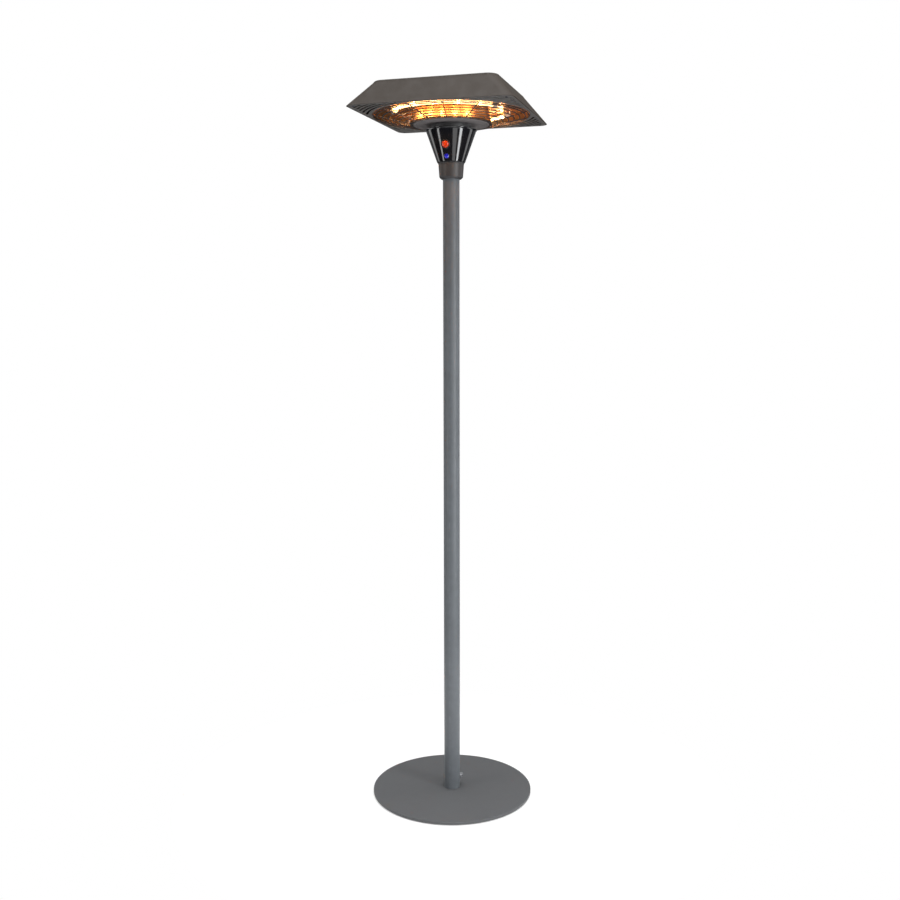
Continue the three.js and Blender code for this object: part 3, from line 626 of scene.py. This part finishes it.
def plain(name, bm, sharp=38):
    """A mesh object with smooth shading, broken at sharp edges."""
    bmesh.ops.remove_doubles(bm, verts=bm.verts, dist=1e-7)
    bmesh.ops.recalc_face_normals(bm, faces=bm.faces)
    shade(bm, sharp)
    mesh = bpy.data.meshes.new(name)
    bm.to_mesh(mesh)
    bm.free()
    obj = bpy.data.objects.new(name, mesh)
    scene.collection.objects.link(obj)
    return obj


def place(obj, material, nodes, body="frame"):
    """Gives a piece its material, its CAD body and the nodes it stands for."""
    obj.data.materials.clear()
    obj.data.materials.append(material)
    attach(obj, body)
    if nodes:
        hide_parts(*nodes)
    return obj


def piece(name, bm, material, nodes, body="frame", sharp=38):
    return place(plain(name, bm, sharp), MATERIALS[material], nodes, body)


def final_mesh(obj):
    """A copy of the object's mesh as its modifiers or its curve settings leave it."""
    bpy.context.view_layer.update()
    evaluated = obj.evaluated_get(bpy.context.evaluated_depsgraph_get())
    return bpy.data.meshes.new_from_object(evaluated)


def carve(obj, cutters):
    """Cuts the cutters' volumes out of obj and removes them."""
    for cutter in cutters:
        modifier = obj.modifiers.new("cut", "BOOLEAN")
        modifier.operation = "DIFFERENCE"
        modifier.solver = "EXACT"
        modifier.object = cutter
    mesh = final_mesh(obj)
    bm = bmesh.new()
    bm.from_mesh(mesh)
    shade(bm, 30)
    bm.to_mesh(mesh)
    bm.free()
    obj.modifiers.clear()
    obj.data = mesh
    for cutter in cutters:
        bpy.data.objects.remove(cutter)
    return obj


def cylinder(radius, z0, z1, matrix=None, segments=48):
    profile = [(0, z0), (radius, z0), (radius, z1), (0, z1)]
    return plain("cutter", lathe(profile, segments, False, matrix))


# ---------------------------------------------------------------- base and pole
def flat(vector):
    return Vector((vector.x, vector.y, 0))


def middle(node):
    low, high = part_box(node)
    return (low + high) / 2


def base():
    low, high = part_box("base_plate")
    radius = high.x
    profile = rounded([(0, low.z), (radius, low.z), (radius, high.z), (0, high.z)], 1.6 * MM, 6)
    disc = plain("base_disc", lathe(profile, 192), 50)
    cutters = [cylinder(PAD_POCKET, -MM, PAD_DEPTH, Matrix.Translation(flat(middle(pad)))) for pad in PADS]
    cutters.append(cylinder(WASHER_POCKET, -MM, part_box("base_washer")[1].z + CLEAR))
    cutters.append(cylinder(BOLT_HOLE, -MM, high.z + MM))
    carve(disc, cutters)
    place(disc, MATERIALS["base"], ["base_plate"])
    for number, node in enumerate(PADS, 1):
        rubber_pad(number, node)


def rubber_pad(number, node):
    """A pad with two grooves round its underside."""
    low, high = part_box(node)
    reach = (high.x - low.x) / 2
    outline = [(0, low.z)]
    for share in (0.3, 0.66):
        for along, depth in ((0, 0), (0.04, MM / 2), (0.12, MM / 2), (0.16, 0)):
            outline.append((reach * (share + along), low.z + depth))
    outline += rounded([(reach * 0.9, low.z), (reach, low.z), (reach, high.z), (0, high.z)], 0.7 * MM, 3)
    bm = lathe(outline, 48, False, Matrix.Translation(flat(middle(node))))
    piece(f"rubber_pad_{number}", bm, "rubber", [node])


def tube_profile(inner, outer, low, high, rounding):
    return rounded([(inner, low), (outer, low), (outer, high), (inner, high)], rounding, 3, True)


def pole():
    low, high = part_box("pole")
    wall = tube_profile(high.x - POLE_WALL, high.x, low.z, high.z, 0.4 * MM)
    tube = plain("pole_tube", lathe(wall, 128, True))
    gland_way = Matrix.Rotation(math.radians(GLAND_TURN), 4, "Z") @ Matrix.Rotation(math.pi / 2, 4, "Y")
    seat = Matrix.Translation((0, 0, middle("cable_gland").z)) @ gland_way
    carve(tube, [cylinder(GLAND_BARREL + CLEAR, 0, 2 * high.x, seat)])
    place(tube, MATERIALS["pole"], ["pole"])
    lead_gland(high.x, seat)


def lead_gland(pole_radius, seat):
    """A ribbed nose outside the pole, and a plain barrel that runs in through its wall."""
    start = pole_radius + CLEAR
    inside = pole_radius - POLE_WALL - GLAND_INSIDE
    ribs = []
    for rib in range(GLAND_RIBS):
        at = start + (6.6 + 2.1 * rib) * MM
        wide = GLAND_FLANGE - (1.6 + 0.5 * rib) * MM
        thin = wide - 1.1 * MM
        ribs += [(wide, at), (wide, at + 1.2 * MM), (thin, at + 1.4 * MM), (thin, at + 1.9 * MM)]
    nose = start + GLAND_NOSE
    outline = [
        (GLAND_BORE, inside),
        (GLAND_BARREL, inside),
        (GLAND_BARREL, start),
        (GLAND_FLANGE, start),
        (GLAND_FLANGE, start + 5 * MM),
        (GLAND_FLANGE - 1.4 * MM, start + 6 * MM),
        *ribs,
        (GLAND_BARREL - 0.6 * MM, nose),
        (GLAND_BORE, nose),
    ]
    gland = hollow(outline, 0.35 * MM, 2, 48, seat)
    piece("lead_gland", gland, "gland", ["cable_gland"])


# ---------------------------------------------------------------- neck
def collar():
    low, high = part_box("pole_collar")
    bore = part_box("pole")[1].x + CLEAR
    top = high.x
    outline = [
        (bore, low.z),
        (COLLAR_FOOT, low.z),
        (COLLAR_LOW, low.z + COLLAR_CHAMFER, 2.5 * MM),
        (top, high.z - 3 * MM, 2 * MM),
        (top, high.z),
        (bore, high.z),
    ]
    sleeve = plain("collar_sleeve", hollow(outline, 0.7 * MM, 5, 128))
    screw = middle("collar_screw")
    away = Matrix.Translation((0, 0, screw.z)) @ Matrix.Rotation(-math.pi / 2, 4, "X")
    carve(sleeve, [cylinder(GRUB_HOLE, bore - MM, top + 2 * MM, away)])
    place(sleeve, MATERIALS["dark"], ["pole_collar"])


def collar_trim():
    low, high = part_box("collar_ring")
    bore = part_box("pole")[1].x + CLEAR
    half = (high.z - low.z) / 2
    outline = [
        (bore, low.z),
        (high.x - 0.6 * MM, low.z),
        (high.x, low.z + half * 0.5),
        (high.x, high.z - half * 0.5),
        (high.x - 0.6 * MM, high.z),
        (bore, high.z),
    ]
    trim = hollow(outline, 0.4 * MM, 4, 128)
    piece("collar_trim", trim, "dark", ["collar_ring"])


def cone_slope():
    low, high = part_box("neck_cone")
    return (CONE_SHOULDER - CONE_LOW) / (high.z - CONE_RIM_HEIGHT - low.z)


def cone_seat(z):
    """Places +Z along the cone's outward normal at its front."""
    radius = CONE_LOW + cone_slope() * (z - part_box("neck_cone")[0].z)
    lean = math.pi / 2 + math.atan(cone_slope())
    return Matrix.Translation((0, -radius, z)) @ Matrix.Rotation(lean, 4, "X")


def stepped(outline, longest):
    """The same closed outline with extra points, so that no side is longer than given."""
    result = []
    for point, following in zip(outline, outline[1:] + outline[:1]):
        here, there = Vector(point), Vector(following)
        count = max(1, math.ceil((there - here).length / longest))
        result += [tuple(here.lerp(there, i / count)) for i in range(count)]
    return result


def cone():
    low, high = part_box("neck_cone")
    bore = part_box("pole")[1].x + CLEAR
    top = high.x
    outline = [
        (bore, low.z),
        (CONE_LOW, low.z),
        (CONE_SHOULDER, high.z - CONE_RIM_HEIGHT, 1.8 * MM),
        (top, high.z - CONE_RIM_EDGE, 1.5 * MM),
        (top, high.z, 0.6 * MM),
        (CONE_LIP, high.z),
        (CONE_LIP, high.z - CONE_FLOOR),
        (CONE_SHOULDER - CONE_WALL, high.z - CONE_FLOOR),
        (CONE_LOW - CONE_WALL + cone_slope() * CONE_FLOOR, low.z + CONE_FLOOR),
        (bore, low.z + CONE_FLOOR),
    ]
    skin = stepped(rounded(outline, 0.9 * MM, 5, True), 2 * MM)
    shell = plain("switch_housing", lathe(skin, 192, True))
    cutters = [
        cylinder(BUTTON_BARREL + 2 * CLEAR, -12 * MM, 12 * MM, cone_seat(BUTTON_Z)),
        cylinder(LENS_BARREL + 2 * CLEAR, -9 * MM, 9 * MM, cone_seat(LENS_Z)),
    ]
    carve(shell, cutters)
    place(shell, MATERIALS["gloss"], ["neck_cone"])


def spacer():
    low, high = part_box("neck_spacer")
    wall = tube_profile(SPACER_INNER, high.x, low.z, high.z, 0.8 * MM)
    piece("housing_spacer", lathe(wall, 128, True), "dark", ["neck_spacer"])


def power_switch():
    """The surround fixed in the housing, and the domed button that slides in it."""
    seat = cone_seat(BUTTON_Z)
    switch_ring = [
        (BUTTON_BORE, -7.2 * MM),
        (BUTTON_BARREL, -7.2 * MM),
        (BUTTON_BARREL, -0.1 * MM),
        (BUTTON_FLANGE, 0.7 * MM),
        (BUTTON_FLANGE, 1.5 * MM),
        (BUTTON_FLANGE - 1.2 * MM, 3 * MM, 1.2 * MM),
        (BUTTON_BORE + 0.9 * MM, 3 * MM),
        (BUTTON_BORE, 2.1 * MM),
    ]
    ring = hollow(switch_ring, 0.4 * MM, 4, 96, seat)
    piece("switch_surround", ring, "bezel", ["switch_bezel"])
    cap = [
        (0, -4 * MM),
        (BUTTON_CAP, -4 * MM),
        (BUTTON_CAP, 3.6 * MM, 1.2 * MM),
        (BUTTON_CAP * 0.82, 5.4 * MM, 2 * MM),
        (BUTTON_CAP * 0.45, 6.5 * MM, 2 * MM),
        (0, 6.7 * MM),
    ]
    dome = lathe(rounded(cap, 0.4 * MM, 6), 96, False, seat)
    glow = {"centre": seat @ Vector((0, 0, 4 * MM)), "reach": 13 * MM}
    lit = lit_plastic("orange_button", rgba(0.62, 0.045, 0.006), rgba(1.0, 0.06, 0.004), 0.16, 0.2, glow)
    place(plain("push_button", dome), lit, ["power_button"], "button")


def indicator():
    """The surround and its faceted lens."""
    seat = cone_seat(LENS_Z)
    lens_ring = [
        (LENS_BORE, -6 * MM),
        (LENS_BARREL, -6 * MM),
        (LENS_BARREL, -0.1 * MM),
        (LENS_FLANGE, 0.45 * MM),
        (LENS_FLANGE, 0.8 * MM),
        (LENS_FLANGE - 0.7 * MM, 1.6 * MM, 0.7 * MM),
        (LENS_BORE, 1.6 * MM),
    ]
    ring = hollow(lens_ring, 0.3 * MM, 4, 72, seat)
    piece("indicator_surround", ring, "bezel", ["indicator_bezel"])
    jewel = [
        (0, -8 * MM),
        (LENS_CAP, -8 * MM),
        (LENS_CAP, 1.4 * MM),
        (LENS_CAP * 0.62, 3.2 * MM),
        (LENS_CAP * 0.3, 3.9 * MM),
        (0, 3.9 * MM),
    ]
    stone = lathe(jewel, 12, False, seat)
    glow = {"centre": seat @ Vector((0, 0, 2 * MM)), "reach": 9 * MM}
    lit = lit_plastic("blue_lens", rgba(0.012, 0.012, 0.42), rgba(0.02, 0.015, 1.0), 0.3, 0.06, glow)
    place(plain("indicator_jewel", stone, 8), lit, ["indicator_lens"])


# ---------------------------------------------------------------- head: underside
def centre_plate():
    low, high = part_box("centre_plate")
    radius = high.x
    sheet = PLATE_SHEET
    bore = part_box("neck_tube")[1].x + CLEAR
    outline = [
        (bore, low.z),
        (radius - 9 * MM, low.z, 0),
        (radius - 7.4 * MM, low.z + 0.5 * MM, 0.4 * MM),
        (radius - 6.6 * MM, low.z + 0.5 * MM, 0.4 * MM),
        (radius - 5 * MM, low.z, 0.6 * MM),
        (radius, low.z, 2.4 * MM),
        (radius, high.z),
        (radius - sheet, high.z),
        (radius - sheet, low.z + sheet, 1.2 * MM),
        (bore, low.z + sheet),
    ]
    plate = plain("underside_plate", hollow(outline, 0.4 * MM, 6, 192))
    carve(plate, [cylinder(WIRE_WAY, low.z - MM, low.z + 6 * MM, Matrix.Translation((0, WIRE_WAY_Y, 0)))])
    place(plate, MATERIALS["plate"], ["centre_plate"])


def guard_shape():
    """The guard's own radii and the height of its wires at a radius."""
    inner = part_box("centre_plate")[1].x + GUARD_CLEAR
    outer = FRAME_OPENING - CLEAR - 3 * MM
    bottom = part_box("wire_guard")[0].z + WIRE + 0.05 * MM
    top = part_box("rim_frame")[0].z - GUARD_DROP
    start = inner + GUARD_BAND

    def height(radius):
        return bottom + (top - bottom) * max(0.0, (radius - start) / (outer - start))

    return inner, start, outer, height


def guard():
    inner, start, outer, height = guard_shape()
    bm = bmesh.new()
    band = height(inner)
    bead = [
        (inner, band - GUARD_BEAD),
        (start, band - GUARD_BEAD),
        (start, band + GUARD_BEAD),
        (inner, band + GUARD_BEAD),
    ]
    turn(bm, rounded(bead, 0.8 * MM, 4, True), 128, True)
    radii = [GUARD_FIRST + GUARD_PITCH * i for i in range(GUARD_RINGS)] + [outer]
    for radius in radii:
        raised = GUARD_BEAD if radius < outer else 0
        circle = [polar(radius, 360 * i / 160, height(radius) + raised) for i in range(160)]
        sweep(bm, circle, WIRE, 8, True)
    for k in range(GUARD_SPOKES):
        angle = FIRST_SPOKE + 360 / GUARD_SPOKES * k
        path = [polar(start - 3 * MM, angle, band)]
        for i in range(13):
            radius = start + (outer - start) * i / 12
            path.append(polar(radius, angle, height(radius)))
        sweep(bm, path, WIRE, 8)
    hooks(bm, outer, height)
    wires = plain("guard_wires", bm, 60)
    place(wires, MATERIALS["wire"], ["wire_guard"])


def hooks(bm, outer, height):
    """Thin wire loops that hang the guard on the frame's upper face."""
    thin = WIRE * HOOK_THIN
    frame_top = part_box("rim_frame")[1].z + CLEAR
    hook_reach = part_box("wire_guard")[1].x
    for k in range(HOOKS):
        angle = 360 / HOOKS * k
        sides = [polar(across, angle + 90) for across in (-HOOK_WIDTH / 2, HOOK_WIDTH / 2)]
        for side in sides:
            path = [
                polar(outer, angle, height(outer)) + side,
                polar(outer + 0.3 * MM, angle, frame_top + 0.2 * MM) + side,
                polar(outer + 1 * MM, angle, frame_top + thin) + side,
                polar(hook_reach - thin, angle, frame_top + thin) + side,
            ]
            sweep(bm, path, thin, 8)
        sweep(bm, [polar(hook_reach - thin, angle, frame_top + thin) + side for side in sides], thin, 8)


def spline(curve, points):
    line = curve.splines.new("POLY")
    line.points.add(len(points) - 1)
    for target, point in zip(line.points, points):
        target.co = (point[0], point[1], 0, 1)
    line.use_cyclic_u = True


def rim_frame():
    low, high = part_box("rim_frame")
    half = high.x
    curve = bpy.data.curves.new("rim_outline", "CURVE")
    curve.dimensions = "2D"
    curve.fill_mode = "BOTH"
    bevel = 0.3 * MM
    curve.extrude = (high.z - low.z) / 2 - bevel
    curve.bevel_depth = bevel
    curve.bevel_resolution = 2
    curve.offset = -bevel
    spline(curve, rounded_square(half, FRAME_CORNER, 0))
    spline(curve, [polar(FRAME_OPENING, 360 * i / 256) for i in range(256)])
    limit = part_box("hood_shell")[1].x - SLOT_BORDER
    for corner in range(4):
        centre = 45 + 90 * corner
        for i in range(SLOT_COUNT):
            inner = SLOT_FIRST + SLOT_PITCH * i - SLOT_WIDTH / 2
            outer = inner + SLOT_WIDTH
            reach = 45 - math.degrees(math.acos(limit / outer))
            spline(curve, arc_slot(inner, outer, centre, reach))
        spline(curve, screw_hole(f"rim_screw_{corner + 1}"))
    source = bpy.data.objects.new("rim_outline", curve)
    scene.collection.objects.link(source)
    source.location.z = (low.z + high.z) / 2
    mesh = final_mesh(source)
    mesh.transform(source.matrix_world)
    bm = bmesh.new()
    bm.from_mesh(mesh)
    bpy.data.objects.remove(source)
    piece("underside_frame", bm, "flange", ["rim_frame"], sharp=50)


def arc_slot(inner, outer, centre, reach):
    """A slot between two radii with rounded ends."""
    steps = max(6, round(reach * 1.5))
    end = (outer - inner) / 2
    trim = math.degrees(end / ((inner + outer) / 2))
    span = reach - trim
    points = [polar(outer, centre - span + 2 * span * i / steps) for i in range(steps + 1)]
    points += half_turn(inner, outer, centre + span, 1)
    points += [polar(inner, centre + span - 2 * span * i / steps) for i in range(steps + 1)]
    points += half_turn(inner, outer, centre - span, -1)
    return points


def half_turn(inner, outer, angle, way):
    """Points round a slot's end, from its outer side to its inner one if way is 1."""
    seat = polar((inner + outer) / 2, angle)
    end = (outer - inner) / 2
    return [seat + polar(end, angle + (30 * step if way > 0 else 180 + 30 * step)) for step in range(1, 6)]


def screw_hole(node):
    centre = middle(node)
    return [flat(centre) + polar(SCREW_HOLE, 360 * i / 32) for i in range(32)]


def screws():
    for number in (1, 2, 3, 4):
        node = f"rim_screw_{number}"
        low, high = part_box(node)
        radius = (high.x - low.x) / 2
        head = low.z + SCREW_HEAD
        shank = radius * 0.48
        outline = [
            (0, low.z),
            (radius * 0.6, low.z, 1 * MM),
            (radius, low.z + 1.3 * MM),
            (radius, head, 0.2 * MM),
            (shank, head, 0.2 * MM),
        ]
        pitch = (high.z - head - MM) / SCREW_THREADS
        for i in range(SCREW_THREADS):
            at = head + 0.5 * MM + pitch * i
            outline += [(shank * 0.84, at, 0), (shank, at + pitch / 2, 0)]
        outline += [(shank * 0.7, high.z - 0.3 * MM, 0), (0, high.z)]
        seat = Matrix.Translation(flat(middle(node)))
        turned = lathe(rounded(outline, 0.5 * MM, 4), 48, False, seat)
        screw = plain(f"frame_screw_{number}", turned)
        socket = [
            (0, low.z - MM),
            (SCREW_SOCKET, low.z - MM),
            (SCREW_SOCKET, low.z + 1.3 * MM),
            (0, low.z + 1.5 * MM),
        ]
        carve(screw, [plain("cutter", lathe(socket, 6, False, seat))])
        place(screw, MATERIALS["blackened"], [node])


def hood():
    low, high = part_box("hood_shell")
    rim = high.x
    lean = (rim - HOOD_ROOF) / (high.z - low.z)
    soft = HOOD_BEND
    sheet = HOOD_SHEET
    wall = sheet * SLANT
    straight = high.z - soft - low.z - HOOD_LIP

    def half(z):
        return rim - lean * (z - low.z)

    def corner(z):
        share = (z - low.z) / (high.z - low.z)
        return HOOD_CORNER_LOW + (HOOD_CORNER_HIGH - HOOD_CORNER_LOW) * share

    outer = [rounded_square(rim - HOOD_TUCK, corner(low.z), low.z)]
    for share in (0.25, 0.6, 1.0):
        at = low.z + HOOD_LIP * share
        tucked = rim - HOOD_TUCK * (1 - share) ** 2 - lean * (at - low.z) * share
        outer.append(rounded_square(tucked, corner(at), at))
    for step in range(1, 9):
        at = low.z + HOOD_LIP + straight * step / 8
        outer.append(rounded_square(half(at), corner(at), at))
    bend = math.pi / 2 - math.atan(lean)
    start = half(high.z - soft)
    for step in range(1, 9):
        share = step / 8
        angle = bend * share
        at = high.z - soft + soft * math.sin(math.pi / 2 * share)
        inwards = lean * soft * share + soft * 0.9 * (1 - math.cos(angle))
        outer.append(rounded_square(start - inwards, HOOD_CORNER_HIGH - soft * 0.6 * share, at))
    inner = [rounded_square(rim - wall - 0.5 * MM, corner(low.z) - sheet, low.z)]
    for step in range(9):
        at = low.z + HOOD_LIP + straight * step / 8
        inner.append(rounded_square(half(at) - wall, corner(at) - sheet, at))
    roof = high.z - sheet
    inner.append(rounded_square(start - wall - 3 * MM, HOOD_CORNER_HIGH - 3 * MM, roof - 0.6 * MM))
    inner.append(rounded_square(start - wall - 5 * MM, HOOD_CORNER_HIGH - 4 * MM, roof))
    shell = loft(list(reversed(inner)) + outer)
    piece("hood_cover", shell, "hood", ["hood_shell"], sharp=40)


def gussets():
    """Folded tabs in the hood's corners that take the frame's screws."""
    frame_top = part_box("rim_frame")[1].z + CLEAR
    for number in (1, 2, 3, 4):
        centre = middle(f"rim_screw_{number}")
        angle = math.degrees(math.atan2(centre.y, centre.x))
        reach = math.hypot(centre.x, centre.y)
        shape = [
            (reach - 11 * MM, -10 * MM),
            (reach + 7 * MM, -10 * MM),
            (reach + 13 * MM, -4 * MM),
            (reach + 13 * MM, 4 * MM),
            (reach + 7 * MM, 10 * MM),
            (reach - 11 * MM, 10 * MM),
        ]
        outline = rounded(shape, 2 * MM, 4, True)
        rows = []
        for z in (frame_top, frame_top + HOOD_SHEET):
            rows.append([polar(x, angle, z) + polar(y, angle + 90) for x, y in outline])
        tab = plain(f"hood_tab_{number}", loft(rows))
        seat = Matrix.Translation(flat(centre))
        carve(tab, [cylinder(2 * MM, frame_top - MM, frame_top + 4 * MM, seat, 24)])
        place(tab, MATERIALS["hood"], [])


# ---------------------------------------------------------------- head: reflector and lamps
def lamp_end(index, side, beyond):
    """The angle of a point past one end of a lamp, as far along its circle as given."""
    middle_angle = LAMP_FIRST + 360 / LAMP_COUNT * index
    return middle_angle + side * (LAMP_SPAN / 2 + math.degrees(beyond / LAMP_CIRCLE))


def reflector():
    low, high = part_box("reflector")
    opening = high.x - MIRROR_SHEET * SLANT
    flat_z = high.z - MIRROR_SHEET
    drop = flat_z - low.z
    outline = [
        (MIRROR_HOLE, flat_z),
        (MIRROR_FLAT, flat_z, 10 * MM),
        (MIRROR_FLAT + (opening - MIRROR_FLAT) * 0.55, flat_z - drop * 0.34, 12 * MM),
        (opening, low.z, 0),
        (opening + MIRROR_SHEET * SLANT, low.z, 0.3 * MM),
        (MIRROR_FLAT + (opening - MIRROR_FLAT) * 0.6, flat_z - drop * 0.25, 12 * MM),
        (MIRROR_FLAT + 1.5 * MM, high.z, 10 * MM),
        (MIRROR_HOLE, high.z),
    ]
    bowl = plain("mirror_bowl", hollow(outline, 0.3 * MM, 12, 192), 45)
    wire = CAP_CLEAR + CAP_LENGTH + CAP_TAIL
    holes = [polar(LAMP_CIRCLE, lamp_end(i, side, wire)) for i in range(LAMP_COUNT) for side in (-1, 1)]
    below, above = flat_z - 3 * MM, high.z + 3 * MM
    carve(bowl, [cylinder(LOOM_HOLE, below, above, Matrix.Translation(hole), 32) for hole in holes])
    place(bowl, MATERIALS["copper"], ["reflector"])


def drum():
    low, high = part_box("reflector_drum")
    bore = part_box("neck_tube")[1].x + CLEAR
    wide = high.x
    floor = low.z + DRUM_FLOOR_RISE
    lean = (wide - DRUM_HIGH) / (high.z - low.z)
    sheet = DRUM_SHEET

    def wall(z):
        return wide - lean * (z - low.z)

    outline = [
        (bore, floor),
        (wall(floor) - sheet, floor, 1 * MM),
        (wall(low.z) - sheet, low.z, 0.3 * MM),
        (wall(low.z), low.z, 0.3 * MM),
        (wall(high.z), high.z),
        (wall(high.z) - sheet, high.z),
        (wall(floor + sheet) - sheet, floor + sheet, 2 * MM),
        (bore, floor + sheet),
    ]
    shell = plain("mirror_drum", hollow(outline, 0.3 * MM, 4, 192), 45)
    way = Matrix.Translation((0, WIRE_WAY_Y, 0))
    carve(shell, [cylinder(WIRE_WAY, floor - 3 * MM, floor + 5 * MM, way)])
    place(shell, MATERIALS["copper"], ["reflector_drum"])


def lamp(index):
    node = f"lamp_{index + 1}"
    low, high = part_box(node)
    z = (low.z + high.z) / 2
    first = lamp_end(index, -1, 0)
    outer = (high.z - low.z) / 2
    path = [polar(LAMP_CIRCLE, first + LAMP_SPAN * i / 96, z) for i in range(97)]
    tube = sweep(bmesh.new(), path, outer, 20)
    glass = piece(f"quartz_tube_{index + 1}", tube, "lit", [node], sharp=60)
    glass.visible_shadow = False
    steps = COIL_TURNS * COIL_STEPS
    helix = []
    for i in range(steps + 1):
        angle = first + 2 + (LAMP_SPAN - 4) * i / steps
        winding = math.radians(360 * i / COIL_STEPS)
        across = COIL_RADIUS * math.cos(winding)
        helix.append(polar(LAMP_CIRCLE + across, angle, z + COIL_RADIUS * math.sin(winding)))
    coil = sweep(bmesh.new(), helix, COIL_WIRE, 5)
    piece(f"coil_{index + 1}", coil, "hot", [], sharp=80)
    for end in (1, 2):
        lamp_cap(index, end, z)


def lamp_cap(index, end, z):
    """A ceramic cap with a shallow groove."""
    node = f"lamp_cap_{index + 1}_{end}"
    side = -1 if end == 1 else 1
    angle = lamp_end(index, side, CAP_CLEAR + CAP_LENGTH / 2)
    low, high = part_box(node)
    radius = (high.z - low.z) / 2
    half = CAP_LENGTH / 2
    outline = [
        (0, -half),
        (radius * 0.86, -half, 1 * MM),
        (radius, -half + 1.5 * MM),
        (radius, -half + 5 * MM),
        (radius * 0.9, -half + 6 * MM),
        (radius * 0.9, -half + 8.5 * MM),
        (radius, -half + 9.5 * MM),
        (radius, half - 1.5 * MM),
        (radius * 0.86, half, 1 * MM),
        (0, half),
    ]
    along = Matrix.Rotation(math.radians(angle), 4, "Z") @ Matrix.Rotation(math.pi / 2 * -side, 4, "X")
    seat = Matrix.Translation(polar(LAMP_CIRCLE, angle, z)) @ along
    bm = lathe(rounded(outline, 0.5 * MM, 3), 40, False, seat)
    piece(f"ceramic_cap_{index + 1}_{end}", bm, "ceramic", [node])


def carried_over():
    """CAD nodes inside or behind that keep their own meshes and take detailed materials."""
    for key, nodes in CAD_MATERIALS.items():
        for node in nodes:
            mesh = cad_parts[node].data
            mesh.materials.clear()
            mesh.materials.append(MATERIALS[key])


# ---------------------------------------------------------------- floor, light and camera
def area_light(
    name, turned, distance, size, power, height=PANEL_HEIGHT, aim=PANEL_HEIGHT, colour=(1, 1, 1)
):
    """A soft panel placed by its angle from the camera's side, aimed at a height on the pole."""
    light = bpy.data.lights.new(name, "AREA")
    light.shape = "RECTANGLE"
    light.size, light.size_y = size
    light.energy = power
    light.color = colour
    panel = bpy.data.objects.new(name, light)
    scene.collection.objects.link(panel)
    angle = math.radians(CAMERA_TURN + turned)
    panel.location = (distance * math.sin(angle), -distance * math.cos(angle), height)
    towards = Vector((0, 0, aim)) - panel.location
    panel.rotation_euler = towards.to_track_quat("-Z", "Y").to_euler()
    panel.visible_camera = False
    return panel


def stage():
    floor = plain("floor", lathe([(0, 0), (1, 0), (3, 0), (14, 0)], 96))
    floor.data.materials.append(floor_material())

    world = bpy.data.worlds.new("studio")
    world.use_nodes = True
    scene.world = world
    tree = world.node_tree
    seen = tree.nodes["Background"]
    seen.inputs["Color"].default_value = rgba(1, 1, 1)
    seen.inputs["Strength"].default_value = 1.0
    light = add_node(tree, "ShaderNodeBackground", Color=rgba(0.96, 0.98, 1.0), Strength=AMBIENT)
    both = camera_split(tree, light, seen)
    tree.links.new(both.outputs[0], tree.nodes["World Output"].inputs["Surface"])

    area_light("left_strip", -66, 1.8, (0.3, PANEL_TALL), 9)
    area_light("middle_panel", 20, 2.2, (0.9, PANEL_TALL), 9)
    area_light("right_strip", 50, 1.8, (0.4, PANEL_TALL), 26, colour=(0.97, 0.985, 1.0))
    area_light("rear_right_strip", 108, 1.8, (0.5, PANEL_TALL), 5)
    area_light("rear_left_strip", -118, 1.8, (0.5, PANEL_TALL), 5)
    overhead = area_light("overhead", 0, 0.3, (6, 6), 640, height=8, aim=0.0)
    overhead.rotation_euler = (0, 0, 0)
    lamp_glow()


def lamp_glow():
    """The lamps' own light, thrown from points along their arcs."""
    low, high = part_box("lamp_1")
    for index in range(LAMP_COUNT):
        for step in range(GLOW_POINTS):
            share = (step + 0.5) / GLOW_POINTS
            light = bpy.data.lights.new(f"glow_{index + 1}_{step + 1}", "POINT")
            light.energy = GLOW_POWER
            light.color = GLOW_COLOUR
            light.shadow_soft_size = (high.z - low.z) / 2
            glow = bpy.data.objects.new(light.name, light)
            scene.collection.objects.link(glow)
            angle = lamp_end(index, -1, 0) + LAMP_SPAN * share
            glow.location = polar(LAMP_CIRCLE, angle, (low.z + high.z) / 2)
            glow.visible_camera = False


def camera():
    data = bpy.data.cameras.new("camera")
    data.lens = CAMERA_LENS
    data.sensor_width = SENSOR_WIDTH
    view = bpy.data.objects.new("camera", data)
    scene.collection.objects.link(view)
    turned = math.radians(CAMERA_TURN)
    across, back = CAMERA_DISTANCE * math.sin(turned), -CAMERA_DISTANCE * math.cos(turned)
    place_at = Matrix.Translation((across, back, CAMERA_HEIGHT))
    look = Matrix.Rotation(math.radians(CAMERA_TURN + CAMERA_YAW), 4, "Z")
    look = look @ Matrix.Rotation(math.radians(90 - CAMERA_TILT), 4, "X")
    view.matrix_world = place_at @ look @ Matrix.Rotation(math.radians(CAMERA_ROLL), 4, "Z")
    scene.camera = view


scene.view_settings.view_transform = "Standard"
base()
pole()
collar()
collar_trim()
cone()
spacer()
power_switch()
indicator()
centre_plate()
guard()
rim_frame()
screws()
hood()
gussets()
reflector()
drum()
for lamp_index in range(LAMP_COUNT):
    lamp(lamp_index)
carried_over()
stage()
camera()
